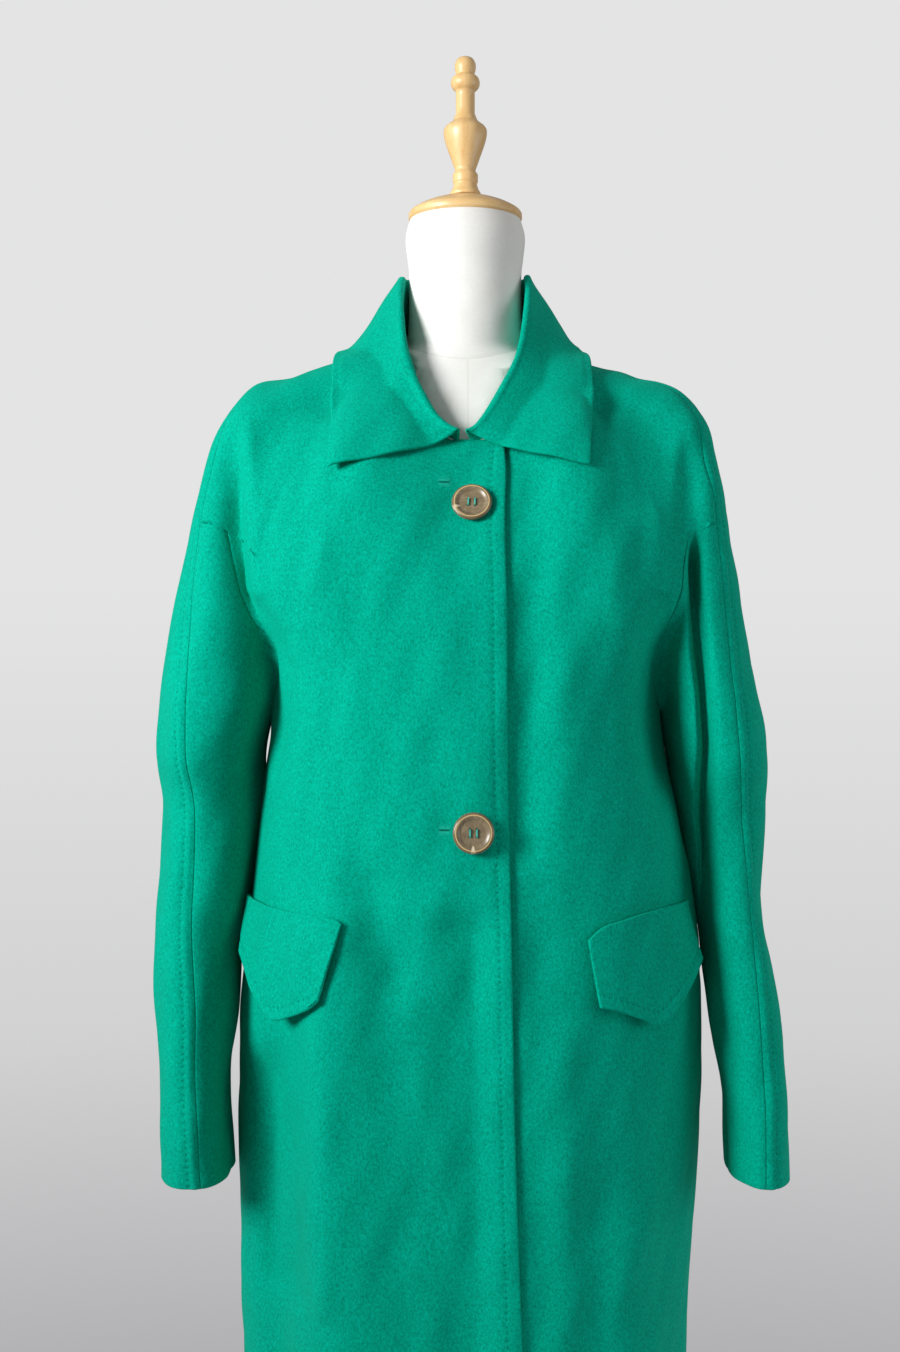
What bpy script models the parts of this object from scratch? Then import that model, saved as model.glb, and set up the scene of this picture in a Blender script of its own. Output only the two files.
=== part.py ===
"""A wool coat on a limbless dress form, at real size, in metres, +Z up, its front towards -Y.

The coat is double-faced wool with no lining: two fronts that lap at the centre, a back, sleeves in two
pieces whose back half runs over the shoulder to the neck, a turned-down collar, two pocket flaps and two
buttons. The cloth is a wall over one outer form, the join of a body and two arms. Each panel is a patch of
that form between its own seams, so neighbouring panels meet along the same curve.
"""

import math

import bmesh
import bpy
import numpy as np
from mathutils import Matrix, Vector

for old in list(bpy.data.objects):
    bpy.data.objects.remove(old)

CLOTH = 0.0028  # thickness of the double-faced wool
COLLAR_CLOTH = 0.0032
FLAP_CLOTH = 0.0036
SEAM_GAP = 0.00044  # between two pieces where they are sewn together
ARMPIT_GAP = 0.0009  # the seams open this much more where four pieces meet
LAP_GAP = 0.0020  # between the two fronts where they lap
COAT_HEM = 0.35  # height of the hem above the floor
SLOT_TOP = 1.091  # below this height the sleeve hangs free of the body
DOME_BASE = 1.18  # the body rounds over towards the shoulders from here up
CUFF = 16.0  # the last station of the arm tables

RIGHT, LEFT = -1.0, 1.0  # the wearer's sides, as the sign of X
SIDE_NAME = {RIGHT: "right", LEFT: "left"}


def table(columns, *rows):
    """Named columns of numbers. The first column is the one that the others are read by."""
    return dict(zip(columns.split(), np.array(rows, float).T))


# Horizontal sections of the coat's body: half widths on each side, front and back depths, squareness.
BODY = table(
    "height right left front back square",
    (0.35, 0.1950, 0.1900, 0.157, 0.134, 2.3),
    (0.51, 0.1995, 0.1970, 0.165, 0.138, 2.3),
    (0.61, 0.2025, 0.2035, 0.168, 0.140, 2.3),
    (0.71, 0.2030, 0.2090, 0.170, 0.141, 2.3),
    (0.80, 0.2020, 0.2115, 0.171, 0.141, 2.3),
    (0.88, 0.1975, 0.2105, 0.170, 0.139, 2.3),
    (0.93, 0.1920, 0.2030, 0.168, 0.137, 2.3),
    (0.98, 0.1860, 0.1940, 0.165, 0.134, 2.3),
    (1.02, 0.1815, 0.1850, 0.162, 0.131, 2.4),
    (1.07, 0.1755, 0.1755, 0.158, 0.127, 2.5),
    (1.10, 0.1735, 0.1735, 0.155, 0.125, 2.6),
    (1.13, 0.1760, 0.1760, 0.152, 0.122, 2.8),
    (1.18, 0.1930, 0.1900, 0.146, 0.119, 3.2),
)

# Sections across each arm, from the neck over the shoulder to the cuff: where the outer and the inner edge
# lie, the middle, the depth in front of it and behind it, and the angle of the top seam, in degrees from
# the outer edge towards the front.
ARM_COLUMNS = "station out_x out_z in_x in_z middle front back seam"
ARM = {
    RIGHT: table(
        ARM_COLUMNS,
        (0, 0.0620, 1.4245, 0.034, 1.3435, 0.006, 0.046, 0.046, 12),
        (1, 0.1140, 1.4060, 0.086, 1.3256, 0.005, 0.055, 0.055, 14),
        (2, 0.1620, 1.3884, 0.137, 1.3060, 0.003, 0.060, 0.062, 17),
        (3, 0.1905, 1.3800, 0.150, 1.2960, 0.000, 0.064, 0.068, 21),
        (4, 0.2093, 1.3624, 0.157, 1.2800, -0.002, 0.067, 0.074, 30),
        (5, 0.2236, 1.3375, 0.160, 1.2620, -0.003, 0.070, 0.079, 40),
        (6, 0.2342, 1.3064, 0.161, 1.2450, -0.004, 0.073, 0.083, 47),
        (7, 0.2466, 1.2604, 0.160, 1.2220, -0.005, 0.078, 0.088, 50),
        (8, 0.2570, 1.2035, 0.161, 1.1850, -0.006, 0.084, 0.092, 56),
        (9, 0.2687, 1.1300, 0.168, 1.1250, -0.010, 0.090, 0.092, 68),
        (10, 0.2728, 1.0900, 0.1805, 1.0850, -0.013, 0.092, 0.091, 74),
        (11, 0.2758, 1.0500, 0.1880, 1.0500, -0.009, 0.091, 0.089, 80),
        (12, 0.2720, 1.0030, 0.1875, 1.0030, 0.006, 0.088, 0.086, 84),
        (13, 0.2766, 0.9100, 0.1995, 0.9100, -0.010, 0.081, 0.079, 94),
        (14, 0.2724, 0.8300, 0.2025, 0.8300, -0.036, 0.073, 0.071, 103),
        (15, 0.2660, 0.7650, 0.209, 0.7650, -0.052, 0.068, 0.066, 108),
        (16, 0.2655, 0.6870, 0.204, 0.6870, -0.055, 0.064, 0.062, 110),
    ),
    LEFT: table(
        ARM_COLUMNS,
        (0, 0.0620, 1.4205, 0.034, 1.3400, 0.006, 0.046, 0.046, 14),
        (1, 0.1088, 1.4031, 0.082, 1.3235, 0.005, 0.055, 0.055, 18),
        (2, 0.1488, 1.3911, 0.124, 1.3090, 0.003, 0.060, 0.062, 23),
        (3, 0.1874, 1.3801, 0.150, 1.2970, 0.000, 0.064, 0.068, 36),
        (4, 0.2058, 1.3665, 0.157, 1.2810, -0.002, 0.067, 0.074, 47),
        (5, 0.2169, 1.3480, 0.159, 1.2640, -0.003, 0.070, 0.079, 55),
        (6, 0.2243, 1.3210, 0.160, 1.2470, -0.004, 0.073, 0.083, 59),
        (7, 0.2344, 1.2760, 0.160, 1.2240, -0.005, 0.078, 0.088, 59),
        (8, 0.2417, 1.2150, 0.161, 1.1870, -0.006, 0.084, 0.092, 62),
        (9, 0.2528, 1.1450, 0.167, 1.1300, -0.010, 0.090, 0.092, 69),
        (10, 0.2605, 1.1000, 0.1790, 1.0900, -0.013, 0.092, 0.091, 76),
        (11, 0.2681, 1.0490, 0.1890, 1.0490, -0.009, 0.091, 0.089, 83),
        (12, 0.2694, 1.0000, 0.1930, 1.0000, 0.006, 0.088, 0.086, 79),
        (13, 0.2626, 0.9250, 0.2080, 0.9250, -0.012, 0.081, 0.079, 74),
        (14, 0.2739, 0.8400, 0.2135, 0.8400, -0.038, 0.073, 0.071, 82),
        (15, 0.2791, 0.7650, 0.2255, 0.7650, -0.052, 0.068, 0.066, 92),
        (16, 0.2791, 0.6870, 0.229, 0.6870, -0.055, 0.064, 0.062, 94),
    ),
}


def read(tab, column, at):
    """A table's column, read at any values of its first column along a smooth curve."""
    keys, values = next(iter(tab.values())), tab[column]
    at = np.clip(at, keys[0], keys[-1])
    slope = np.empty_like(values)
    slope[1:-1] = (values[2:] - values[:-2]) / (keys[2:] - keys[:-2])
    slope[0] = (values[1] - values[0]) / (keys[1] - keys[0])
    slope[-1] = (values[-1] - values[-2]) / (keys[-1] - keys[-2])
    i = np.clip(np.searchsorted(keys, at, side="right") - 1, 0, len(keys) - 2)
    span = keys[i + 1] - keys[i]
    t = (at - keys[i]) / span
    return (
        (1 + 2 * t) * (1 - t) ** 2 * values[i]
        + t * (1 - t) ** 2 * span * slope[i]
        + t * t * (3 - 2 * t) * values[i + 1]
        + t * t * (t - 1) * span * slope[i + 1]
    )


def ease(low, high, value):
    """0 below low, 1 above high, smooth between."""
    t = np.clip((value - low) / (high - low), 0.0, 1.0)
    return t * t * (3 - 2 * t)


# ---------------------------------------------------------------- the coat's outer form


def body_field(p):
    """About how far each point lies outside the coat's body."""
    x, y, z = p.T
    low = np.minimum(z, DOME_BASE)
    half = np.where(x < 0, read(BODY, "right", low), read(BODY, "left", low))
    depth = np.where(y < 0, read(BODY, "front", low), read(BODY, "back", low))
    square = read(BODY, "square", low)
    flat = (np.abs(x / half) ** square + np.abs(y / depth) ** square) ** (1 / square)
    rise = np.maximum(z - DOME_BASE, 0.0)
    ridge = 1.432 - DOME_BASE - 0.10 * np.abs(x)
    outward = ease(0.0, 0.11, np.abs(x))
    bulge = np.where(y < 0, 1.28 + 0.52 * outward, 2.8 - 1.0 * outward)
    gauge = (flat**bulge + (rise / ridge) ** bulge) ** (1 / bulge)
    reach = np.sqrt(x * x + y * y + rise * rise)
    return reach * (1 - 1 / np.maximum(gauge, 1e-6))


def arm_axis(side, stations):
    """Middle point, outward unit vector (both in X, Z) and half width of the arm's sections."""
    arm = ARM[side]
    out = np.stack([read(arm, "out_x", stations), read(arm, "out_z", stations)], -1)
    inner = np.stack([read(arm, "in_x", stations), read(arm, "in_z", stations)], -1)
    half = np.linalg.norm(out - inner, axis=-1) / 2
    return (out + inner) / 2, (out - inner) / (2 * half[..., None]), half


ARM_SAMPLES = np.linspace(0, CUFF, 97)
ARM_SQUARE = 2.2
ARM_AXES = {side: arm_axis(side, ARM_SAMPLES) for side in (RIGHT, LEFT)}


def nearest_station(side, x, z):
    """The station of the arm whose section passes through (x, z), and how far before the first it lies."""
    middle, outward, _ = ARM_AXES[side]
    point = np.stack([x, z], -1)
    beyond = point @ np.stack([outward[:, 1], -outward[:, 0]])
    beyond -= middle[:, 0] * outward[:, 1] - middle[:, 1] * outward[:, 0]
    away = (middle**2).sum(-1) - 2 * point @ middle.T
    here = (beyond[:, :-1] > 0) & (beyond[:, 1:] <= 0)
    first = np.where(here, away[:, :-1], np.inf).argmin(1)
    row = np.arange(len(point))
    low, high = beyond[row, first], beyond[row, first + 1]
    found = here[row, first]
    share = np.where(found, low / np.where(found, low - high, 1.0), 0.0)
    station = (first + share) * ARM_SAMPLES[1]
    station = np.where(found, station, np.where(beyond[:, 0] <= 0, 0.0, CUFF))
    past = np.where(beyond[:, 0] <= 0, -beyond[:, 0], -np.inf)
    return station, past


def arm_field(p, side):
    """About how far each point lies outside the arm on that side."""
    x, y, z = side * p[:, 0], p[:, 1], p[:, 2]
    station, past = nearest_station(side, x, z)
    middle, outward, half = arm_axis(side, station)
    across = ((np.stack([x, z], -1) - middle) * outward).sum(-1)
    off = y - read(ARM[side], "middle", station)
    depth = np.where(off < 0, read(ARM[side], "front", station), read(ARM[side], "back", station))
    gauge = (np.abs(across / half) ** ARM_SQUARE + np.abs(off / depth) ** ARM_SQUARE) ** (1 / ARM_SQUARE)
    field = np.hypot(across, off) * (1 - 1 / np.maximum(gauge, 1e-6))
    return np.maximum(field, past)


def joined(a, b, blend):
    """The smaller of two fields, rounded where they cross."""
    share = np.clip(0.5 + 0.5 * (b - a) / blend, 0, 1)
    return b + (a - b) * share - blend * share * (1 - share)


APART = 0.06  # how far the sleeve's form is taken from the body's below the slot

# The largest folds, as lines down the cloth: half width and depth (a ridge is negative), then x, z points.
FRONT_FOLDS = (
    (0.020, 0.010, (-0.088, 0.99), (-0.055, 0.86), (-0.048, 0.66), (-0.045, 0.35)),
    (0.032, -0.012, (-0.110, 0.95), (-0.112, 0.75), (-0.112, 0.50), (-0.115, 0.35)),
    (0.020, 0.013, (-0.168, 0.82), (-0.166, 0.70), (-0.160, 0.58), (-0.150, 0.46)),
    (0.026, -0.006, (0.080, 0.85), (0.078, 0.60), (0.076, 0.35)),
    (0.020, 0.006, (0.105, 0.72), (0.102, 0.50), (0.100, 0.35)),
    (0.024, -0.007, (0.135, 0.70), (0.130, 0.50), (0.128, 0.35)),
    (
        *(0.0145, -0.021, (-0.125, 1.370), (-0.137, 1.340), (-0.157, 1.310), (-0.170, 1.280)),
        *((-0.180, 1.250), (-0.185, 1.220), (-0.183, 1.190), (-0.170, 1.165)),
    ),
    (
        *(0.0145, -0.024, (0.118, 1.370), (0.130, 1.345), (0.145, 1.310), (0.157, 1.280)),
        *((0.170, 1.250), (0.183, 1.220)),
    ),
    (0.014, 0.008, (-0.2060, 1.350), (-0.2010, 1.290), (-0.1950, 1.243), (-0.1890, 1.200), (-0.1740, 1.165)),
    (0.013, 0.006, (-0.1720, 1.190), (-0.1640, 1.150), (-0.1600, 1.100), (-0.1660, 1.030)),
    (0.014, 0.005, (0.1960, 1.345), (0.1930, 1.290), (0.1880, 1.250)),
    (0.016, 0.007, (0.1640, 1.190), (0.1620, 1.140), (0.1680, 1.080), (0.1760, 1.000)),
    (
        *(0.009, 0.016, (0.1945, 1.245), (0.194, 1.20), (0.201, 1.13)),
        *((0.203, 1.06), (0.208, 0.95), (0.210, 0.84)),
    ),
)
BACK_FOLDS = (
    (0.026, 0.010, (-0.060, 1.02), (-0.066, 0.80), (-0.072, 0.35)),
    (0.030, -0.010, (-0.015, 1.00), (-0.012, 0.70), (-0.010, 0.35)),
    (0.026, 0.010, (0.048, 0.98), (0.055, 0.75), (0.060, 0.35)),
    (0.030, -0.009, (0.112, 0.95), (0.120, 0.70), (0.124, 0.35)),
    (0.030, -0.008, (-0.122, 0.92), (-0.128, 0.70), (-0.132, 0.35)),
    (0.018, 0.009, (-0.160, 1.24), (-0.150, 1.16), (-0.150, 1.07)),
    (0.018, 0.009, (0.160, 1.25), (0.150, 1.17), (0.150, 1.08)),
)
FOLD_FADE = 0.05  # a fold fades over this length at an end that lies on the cloth


def fold_depth(folds, x, z):
    """How far the folds press the cloth in at each x, z."""
    point = np.stack([x, z], -1)
    total = np.zeros(len(x))
    for width, depth, *line in folds:
        line = np.array(line)
        nearest = np.full(len(x), np.inf)
        along = np.zeros(len(x))
        run = 0.0
        for a, b in zip(line[:-1], line[1:]):
            length = math.dist(a, b)
            t = np.clip((point - a) @ (b - a) / length**2, 0, 1)
            away = np.linalg.norm(point - a - t[:, None] * (b - a), axis=-1)
            along = np.where(away < nearest, run + t * length, along)
            nearest = np.minimum(away, nearest)
            run += length
        top = ease(0, FOLD_FADE, along)
        foot = 1.0 if line[-1][1] <= COAT_HEM else ease(0, FOLD_FADE, run - along)
        total += depth * np.exp(-((nearest / width) ** 2)) * top * foot
    return total


def folds_at(p):
    """The folds' depth at points of the coat, front and back, fading out towards its sides."""
    x, y, z = p.T
    front = ease(0.02, 0.07, -y)
    back = ease(0.02, 0.07, y)
    total = np.zeros(len(p))
    for share, folds in ((front, FRONT_FOLDS), (back, BACK_FOLDS)):
        near = share > 0
        total[near] += share[near] * fold_depth(folds, x[near], z[near])
    return total


def coat_field(p, piece):
    """How far each point lies outside the coat, for a piece of its body or of a sleeve."""
    z = p[:, 2]
    blend = 0.010 + 0.022 * ease(1.33, 1.39, z)
    parted = APART * (1 - ease(SLOT_TOP - 0.03, SLOT_TOP - 0.002, z))
    body = body_field(p)
    side = np.where(p[:, 0] < 0, RIGHT, LEFT)
    arm = np.empty(len(p))
    for s in (RIGHT, LEFT):
        arm[side == s] = arm_field(p[side == s], s)
    if piece == "body":
        return joined(body, arm + parted, blend) + folds_at(p)
    return joined(arm, body + parted, blend) + folds_at(p)


def slope_of(field, p, step=0.0004):
    """The field at p and its gradient."""
    value = field(p)
    gradient = np.empty_like(p)
    for axis in range(3):
        moved = p.copy()
        moved[:, axis] += step
        gradient[:, axis] = (field(moved) - value) / step
    return value, gradient


def settle(p, piece, level=0.0, steps=9):
    """Moves points to the given height above the coat's outer form."""
    shape = p.shape
    p = p.reshape(-1, 3).copy()
    level = np.broadcast_to(level, shape[:-1]).reshape(-1)
    for _ in range(steps):
        value, gradient = slope_of(lambda q: coat_field(q, piece), p)
        move = (value - level) / np.maximum((gradient**2).sum(-1), 0.05)
        p -= np.clip(move, -0.03, 0.03)[:, None] * gradient
    return p.reshape(shape)


def normals_at(p, piece):
    """Outward unit normals of the coat at points on it."""
    gradient = slope_of(lambda q: coat_field(q, piece), p.reshape(-1, 3))[1]
    return (gradient / np.linalg.norm(gradient, axis=1, keepdims=True)).reshape(p.shape)


# ---------------------------------------------------------------- seam lines on the form


def spaced(points, count):
    """A smooth curve through the points, as count points evenly spaced along it."""
    points = np.array(points, float)
    ends = np.concatenate([[2 * points[0] - points[1]], points, [2 * points[-1] - points[-2]]])
    fine = []
    for i in range(len(points) - 1):
        a, b, c, d = ends[i : i + 4]
        t = np.linspace(0, 1, 24, endpoint=i == len(points) - 2)[:, None]
        bend = a - 2.5 * b + 2 * c - d / 2
        twist = (d - a + 3 * (b - c)) / 2
        fine.append(b + t * (c - a) / 2 + t**2 * bend + t**3 * twist)
    fine = np.concatenate(fine)
    run = np.concatenate([[0], np.cumsum(np.linalg.norm(np.diff(fine, axis=0), axis=1))])
    at = np.linspace(0, run[-1], count)
    return np.stack([np.interp(at, run, fine[:, axis]) for axis in range(3)], -1)


def seam(points, piece, count):
    """A line drawn on the coat through points near it."""
    line = settle(spaced(points, 4 * count), piece)
    return settle(spaced(line, count), piece)


def arm_points(side, station, degrees):
    """Points of the arm at stations, at angles from its outer edge towards the front."""
    middle, outward, half = arm_axis(side, station)
    turn = np.radians(degrees)
    front, back = read(ARM[side], "front", station), read(ARM[side], "back", station)
    depth = np.where(np.sin(turn) > 0, front, back)
    x, z = np.moveaxis(middle + (half * np.cos(turn))[..., None] * outward, -1, 0)
    y = read(ARM[side], "middle", station) - depth * np.sin(turn)
    return np.stack([side * x, y, z], -1)


def arm_places(side, p, behind):
    """Stations and angles of points on the arm, the angles running through the back if behind is set."""
    x, y, z = side * p[:, 0], p[:, 1], p[:, 2]
    station = nearest_station(side, x, z)[0]
    middle, outward, half = arm_axis(side, station)
    across = ((np.stack([x, z], -1) - middle) * outward).sum(-1) / half
    off = read(ARM[side], "middle", station) - y
    depth = np.where(off > 0, read(ARM[side], "front", station), read(ARM[side], "back", station))
    degrees = np.degrees(np.arctan2(off / depth, across))
    if behind:
        return station, np.where(degrees > 150, degrees - 360, degrees)
    return station, np.where(degrees < -30, degrees + 360, degrees)


def top_seam_line(side, first, last, count):
    """The seam over the shoulder and down the sleeve, between two stations."""
    stations = np.linspace(first, last, 3 * count)
    return seam(arm_points(side, stations, read(ARM[side], "seam", stations)), "sleeve", count)


# Rows of each panel, shared by the panels on both sides of a seam.
SIDE_ROWS, ARMHOLE_ROWS, SHOULDER_ROWS, SLEEVE_ROWS = 18, 9, 11, 17
FRONT_COLUMNS, BACK_COLUMNS = 14, 20
JUNCTION = {RIGHT: 7.0, LEFT: 7.2}  # where the front armhole seam meets the top seam
UNDERARM = {RIGHT: (-0.1770, -0.005, 1.097), LEFT: (0.1770, -0.005, 1.094)}
SIDE_SEAM_Y = 0.004
ARMHOLE = {
    RIGHT: (
        (-0.2309, -0.060, 1.2600),
        (-0.2160, -0.070, 1.2556),
        (-0.2080, -0.075, 1.2470),
        (-0.2040, -0.078, 1.2320),
        (-0.1980, -0.082, 1.2020),
        (-0.1838, -0.086, 1.1689),
        (-0.1720, -0.082, 1.1400),
        (-0.1690, -0.060, 1.1150),
        (-0.1740, -0.030, 1.0970),
    ),
    LEFT: (
        (0.2092, -0.065, 1.2618),
        (0.2022, -0.072, 1.2539),
        (0.1944, -0.076, 1.2425),
        (0.1895, -0.080, 1.2300),
        (0.1850, -0.083, 1.2000),
        (0.1780, -0.086, 1.1689),
        (0.1700, -0.082, 1.1400),
        (0.1690, -0.060, 1.1120),
        (0.1740, -0.030, 1.0930),
    ),
}
# The neckline from the top of the fronts round to the middle of the back, for the wearer's left side.
NECK_FRONT = (
    (0.0060, -0.0950, 1.3215),
    (0.0220, -0.0900, 1.3310),
    (0.0400, -0.0780, 1.3530),
    (0.0530, -0.0600, 1.3800),
    (0.0610, -0.0400, 1.4050),
)
TOP_EDGE_END = (-0.0060, -0.0880, 1.3208)  # of the right front's straight top edge
NECK_SIDE = (0.0650, -0.0120, 1.4250)
NECK_BACK = (
    (0.0620, 0.0150, 1.4290),
    (0.0500, 0.0420, 1.4290),
)
RAGLAN_TOP = (0.0330, 0.0600, 1.4200)
NECK_MIDDLE_BACK = (0.0, 0.0660, 1.4270)
RAGLAN = (
    (0.0620, 0.0830, 1.4020),
    (0.1000, 0.1050, 1.3450),
    (0.1330, 0.1080, 1.2800),
    (0.1560, 0.0980, 1.2200),
    (0.1700, 0.0750, 1.1600),
    (0.1730, 0.0350, 1.1080),
)


def mirrored(points, side):
    """The points of the wearer's left side, or their mirror on the right."""
    return [(side * x, y, z) for x, y, z in points]


# ---------------------------------------------------------------- panels


def coons(bottom, top, left, right):
    """A grid of points between four edges that share their corners, from the bottom row up."""
    u = np.linspace(0, 1, len(bottom))[None, :, None]
    v = np.linspace(0, 1, len(left))[:, None, None]
    across = (1 - u) * left[:, None] + u * right[:, None]
    upward = (1 - v) * bottom[None] + v * top[None]
    corners = (
        (1 - u) * (1 - v) * bottom[0]
        + u * (1 - v) * bottom[-1]
        + (1 - u) * v * top[0]
        + u * v * top[-1]
    )
    return across + upward - corners


def panel(bottom, top, left, right, piece, start=None, rounds=24):
    """A patch of the coat's outer form between four seam lines, and near the start if one is given."""
    grid = coons(bottom, top, left, right)
    if start is not None:
        grid[1:-1, 1:-1] = start[1:-1, 1:-1]
    grid[1:-1, 1:-1] = settle(grid[1:-1, 1:-1], piece)
    for _ in range(rounds):
        near = (grid[:-2, 1:-1] + grid[2:, 1:-1] + grid[1:-1, :-2] + grid[1:-1, 2:]) / 4
        grid[1:-1, 1:-1] = settle(0.4 * grid[1:-1, 1:-1] + 0.6 * near, piece, steps=1)
    grid[1:-1, 1:-1] = settle(grid[1:-1, 1:-1], piece)
    return grid


def wall(grid, piece, thickness=CLOTH, sunk=0.0, bottom=0.0, top=0.0, left=0.0, right=0.0):
    """The outer and inner face of a patch of cloth, set in by sunk and drawn in from its edges."""
    normal = normals_at(grid, piece)
    moved = grid.copy()
    edges = (
        (bottom, np.s_[0], np.s_[1]),
        (top, np.s_[-1], np.s_[-2]),
        (left, np.s_[:, 0], np.s_[:, 1]),
        (right, np.s_[:, -1], np.s_[:, -2]),
    )
    armpit = np.array([UNDERARM[side] for side in (RIGHT, LEFT)])
    for amount, edge, next_in in edges:
        line = grid[edge]
        near = np.linalg.norm(line[:, None] - armpit, axis=-1).min(1)
        amount = np.where(amount > 0, amount + ARMPIT_GAP * np.exp(-((near / 0.03) ** 2)), 0.0)[:, None]
        direction = np.cross(normal[edge], np.gradient(line, axis=0))
        direction /= np.linalg.norm(direction, axis=1, keepdims=True)
        inward = np.sign(((grid[next_in] - line) * direction).sum())
        moved[edge] += amount * inward * direction
    sunk = np.broadcast_to(sunk, grid.shape[:2])[..., None]
    outer = moved - sunk * normal
    return outer, outer - thickness * normal


PARTS = bpy.data.collections.new("Wool_Coat_On_Dress_Form")


def add_part(name, verts, faces, colour, roughness, smooth=True):
    """A named mesh object with a material of its own, its faces made to look outward."""
    mesh = bpy.data.meshes.new(name)
    mesh.from_pydata([tuple(map(float, v)) for v in verts], [], faces)
    work = bmesh.new()
    work.from_mesh(mesh)
    bmesh.ops.recalc_face_normals(work, faces=work.faces)
    if work.calc_volume(signed=True) < 0:
        bmesh.ops.reverse_faces(work, faces=work.faces)
    work.to_mesh(mesh)
    work.free()
    if smooth:
        mesh.polygons.foreach_set("use_smooth", [True] * len(mesh.polygons))
    part = bpy.data.objects.new(name, mesh)
    PARTS.objects.link(part)
    material = bpy.data.materials.new(name)
    material.use_nodes = True
    shader = material.node_tree.nodes["Principled BSDF"]
    shader.inputs["Base Color"].default_value = (*colour, 1.0)
    shader.inputs["Roughness"].default_value = roughness
    mesh.materials.append(material)
    return part


def slab(outer, inner):
    """Vertices and faces of the solid between two grids of the same size."""
    rows, columns = outer.shape[:2]
    count = rows * columns

    def at(row, column, inside):
        return row * columns + column + inside * count

    faces = []
    for row in range(rows - 1):
        for column in range(columns - 1):
            square = ((row, column), (row, column + 1), (row + 1, column + 1), (row + 1, column))
            faces.append([at(r, c, 0) for r, c in square])
            faces.append([at(r, c, 1) for r, c in reversed(square)])
    rim = [(0, c) for c in range(columns)]
    rim += [(r, columns - 1) for r in range(1, rows)]
    rim += [(rows - 1, c) for c in range(columns - 2, -1, -1)]
    rim += [(r, 0) for r in range(rows - 2, 0, -1)]
    for near, far in zip(rim, rim[1:] + rim[:1]):
        # split from the upper outer corner, so two panels split the rims at their seam alike
        a, b, c, d = at(*far, 0), at(*near, 0), at(*near, 1), at(*far, 1)
        if outer[far][2] > outer[near][2]:
            faces += [[a, b, c], [a, c, d]]
        else:
            faces += [[a, b, d], [b, c, d]]
    return np.concatenate([outer.reshape(-1, 3), inner.reshape(-1, 3)]), faces


WOOL = (0.010, 0.330, 0.215)
WOOL_ROUGH = 0.92


def add_cloth(name, outer, inner):
    return add_part(name, *slab(outer, inner), WOOL, WOOL_ROUGH)


# ---------------------------------------------------------------- the coat


def seams_of(side):
    """The seam lines of one side of the coat, each from its upper or front end."""
    armpit = settle(np.array([UNDERARM[side]]), "body")[0]
    hem_side = settle(np.array([(side * 0.195, SIDE_SEAM_Y, COAT_HEM)]), "body")[0]
    junction = JUNCTION[side]
    neck_side = settle(np.array(mirrored([NECK_SIDE], side)), "body")[0]
    raglan_top = settle(np.array(mirrored([RAGLAN_TOP], side)), "body")[0]
    shoulder = top_seam_line(side, 0.6, junction, SHOULDER_ROWS)
    shoulder = seam([neck_side, *shoulder[1:]], "body", SHOULDER_ROWS)
    sleeve_top = top_seam_line(side, junction, CUFF, SLEEVE_ROWS)
    sleeve_top[0] = shoulder[-1]
    armhole = seam([shoulder[-1], *ARMHOLE[side][1:], armpit], "body", ARMHOLE_ROWS)
    raglan = seam([raglan_top, *mirrored(RAGLAN, side), armpit], "body", SHOULDER_ROWS)
    under = arm_points(side, np.linspace(10.6, CUFF, 20), np.full(20, 180.0))
    under = seam([armpit, *under], "sleeve", SLEEVE_ROWS)
    heights = np.linspace(armpit[2], COAT_HEM, SIDE_ROWS)
    low = read(BODY, SIDE_NAME[side], heights)
    flank = np.stack([side * low, np.full(SIDE_ROWS, SIDE_SEAM_Y), heights], -1)
    flank[0] = armpit
    flank[1:] = settle(flank[1:], "body")
    flank[-1] = hem_side
    for line in (sleeve_top, under):
        line[-1, 2] = read(ARM[side], "out_z", CUFF)
    return {
        "shoulder": shoulder,
        "sleeve_top": sleeve_top,
        "armhole": armhole,
        "raglan": raglan,
        "under": under,
        "flank": flank,
    }


SEAMS = {side: seams_of(side) for side in (RIGHT, LEFT)}
RIGHT_EDGE = (  # the overlapping front's edge, x and z
    (0.0297, 1.3203),
    (0.0325, 1.3020),
    (0.0330, 1.2400),
    (0.0340, 1.0900),
    (0.0350, 0.9500),
    (0.0370, 0.8300),
    (0.0400, 0.7100),
    (0.0440, 0.6000),
    (0.0490, 0.4800),
    (0.0550, 0.3500),
)
LEFT_EDGE = tuple((x - 0.067, z) for x, z in RIGHT_EDGE)  # the one below it
LAP_RISE = (0.014, 0.048)  # beside the upper front's edge, where the lower one rises to the form


LEVEL_ROUNDS = 12  # halves what is left of the error each time


def level_point(point):
    """The point of the coat in front of or behind the given one, at its height."""
    point = np.array([point], float)
    height = point[0, 2]
    for _ in range(LEVEL_ROUNDS):
        point = settle(point, "body", steps=2)
        point[0, 2] = height
    return tuple(point[0])


def front_edge(side):
    """The free edge of a front, from the hem up to the neckline."""
    line = RIGHT_EDGE if side == RIGHT else LEFT_EDGE
    points = [(x, -0.16 + 0.25 * max(z - 1.10, 0), z) for x, z in reversed(line)]
    rows = SIDE_ROWS + ARMHOLE_ROWS + SHOULDER_ROWS - 2
    if side == RIGHT:
        points[-1] = level_point(points[-1])
    edge = seam(points, "body", rows)
    edge[0, 2] = COAT_HEM
    return edge


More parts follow.
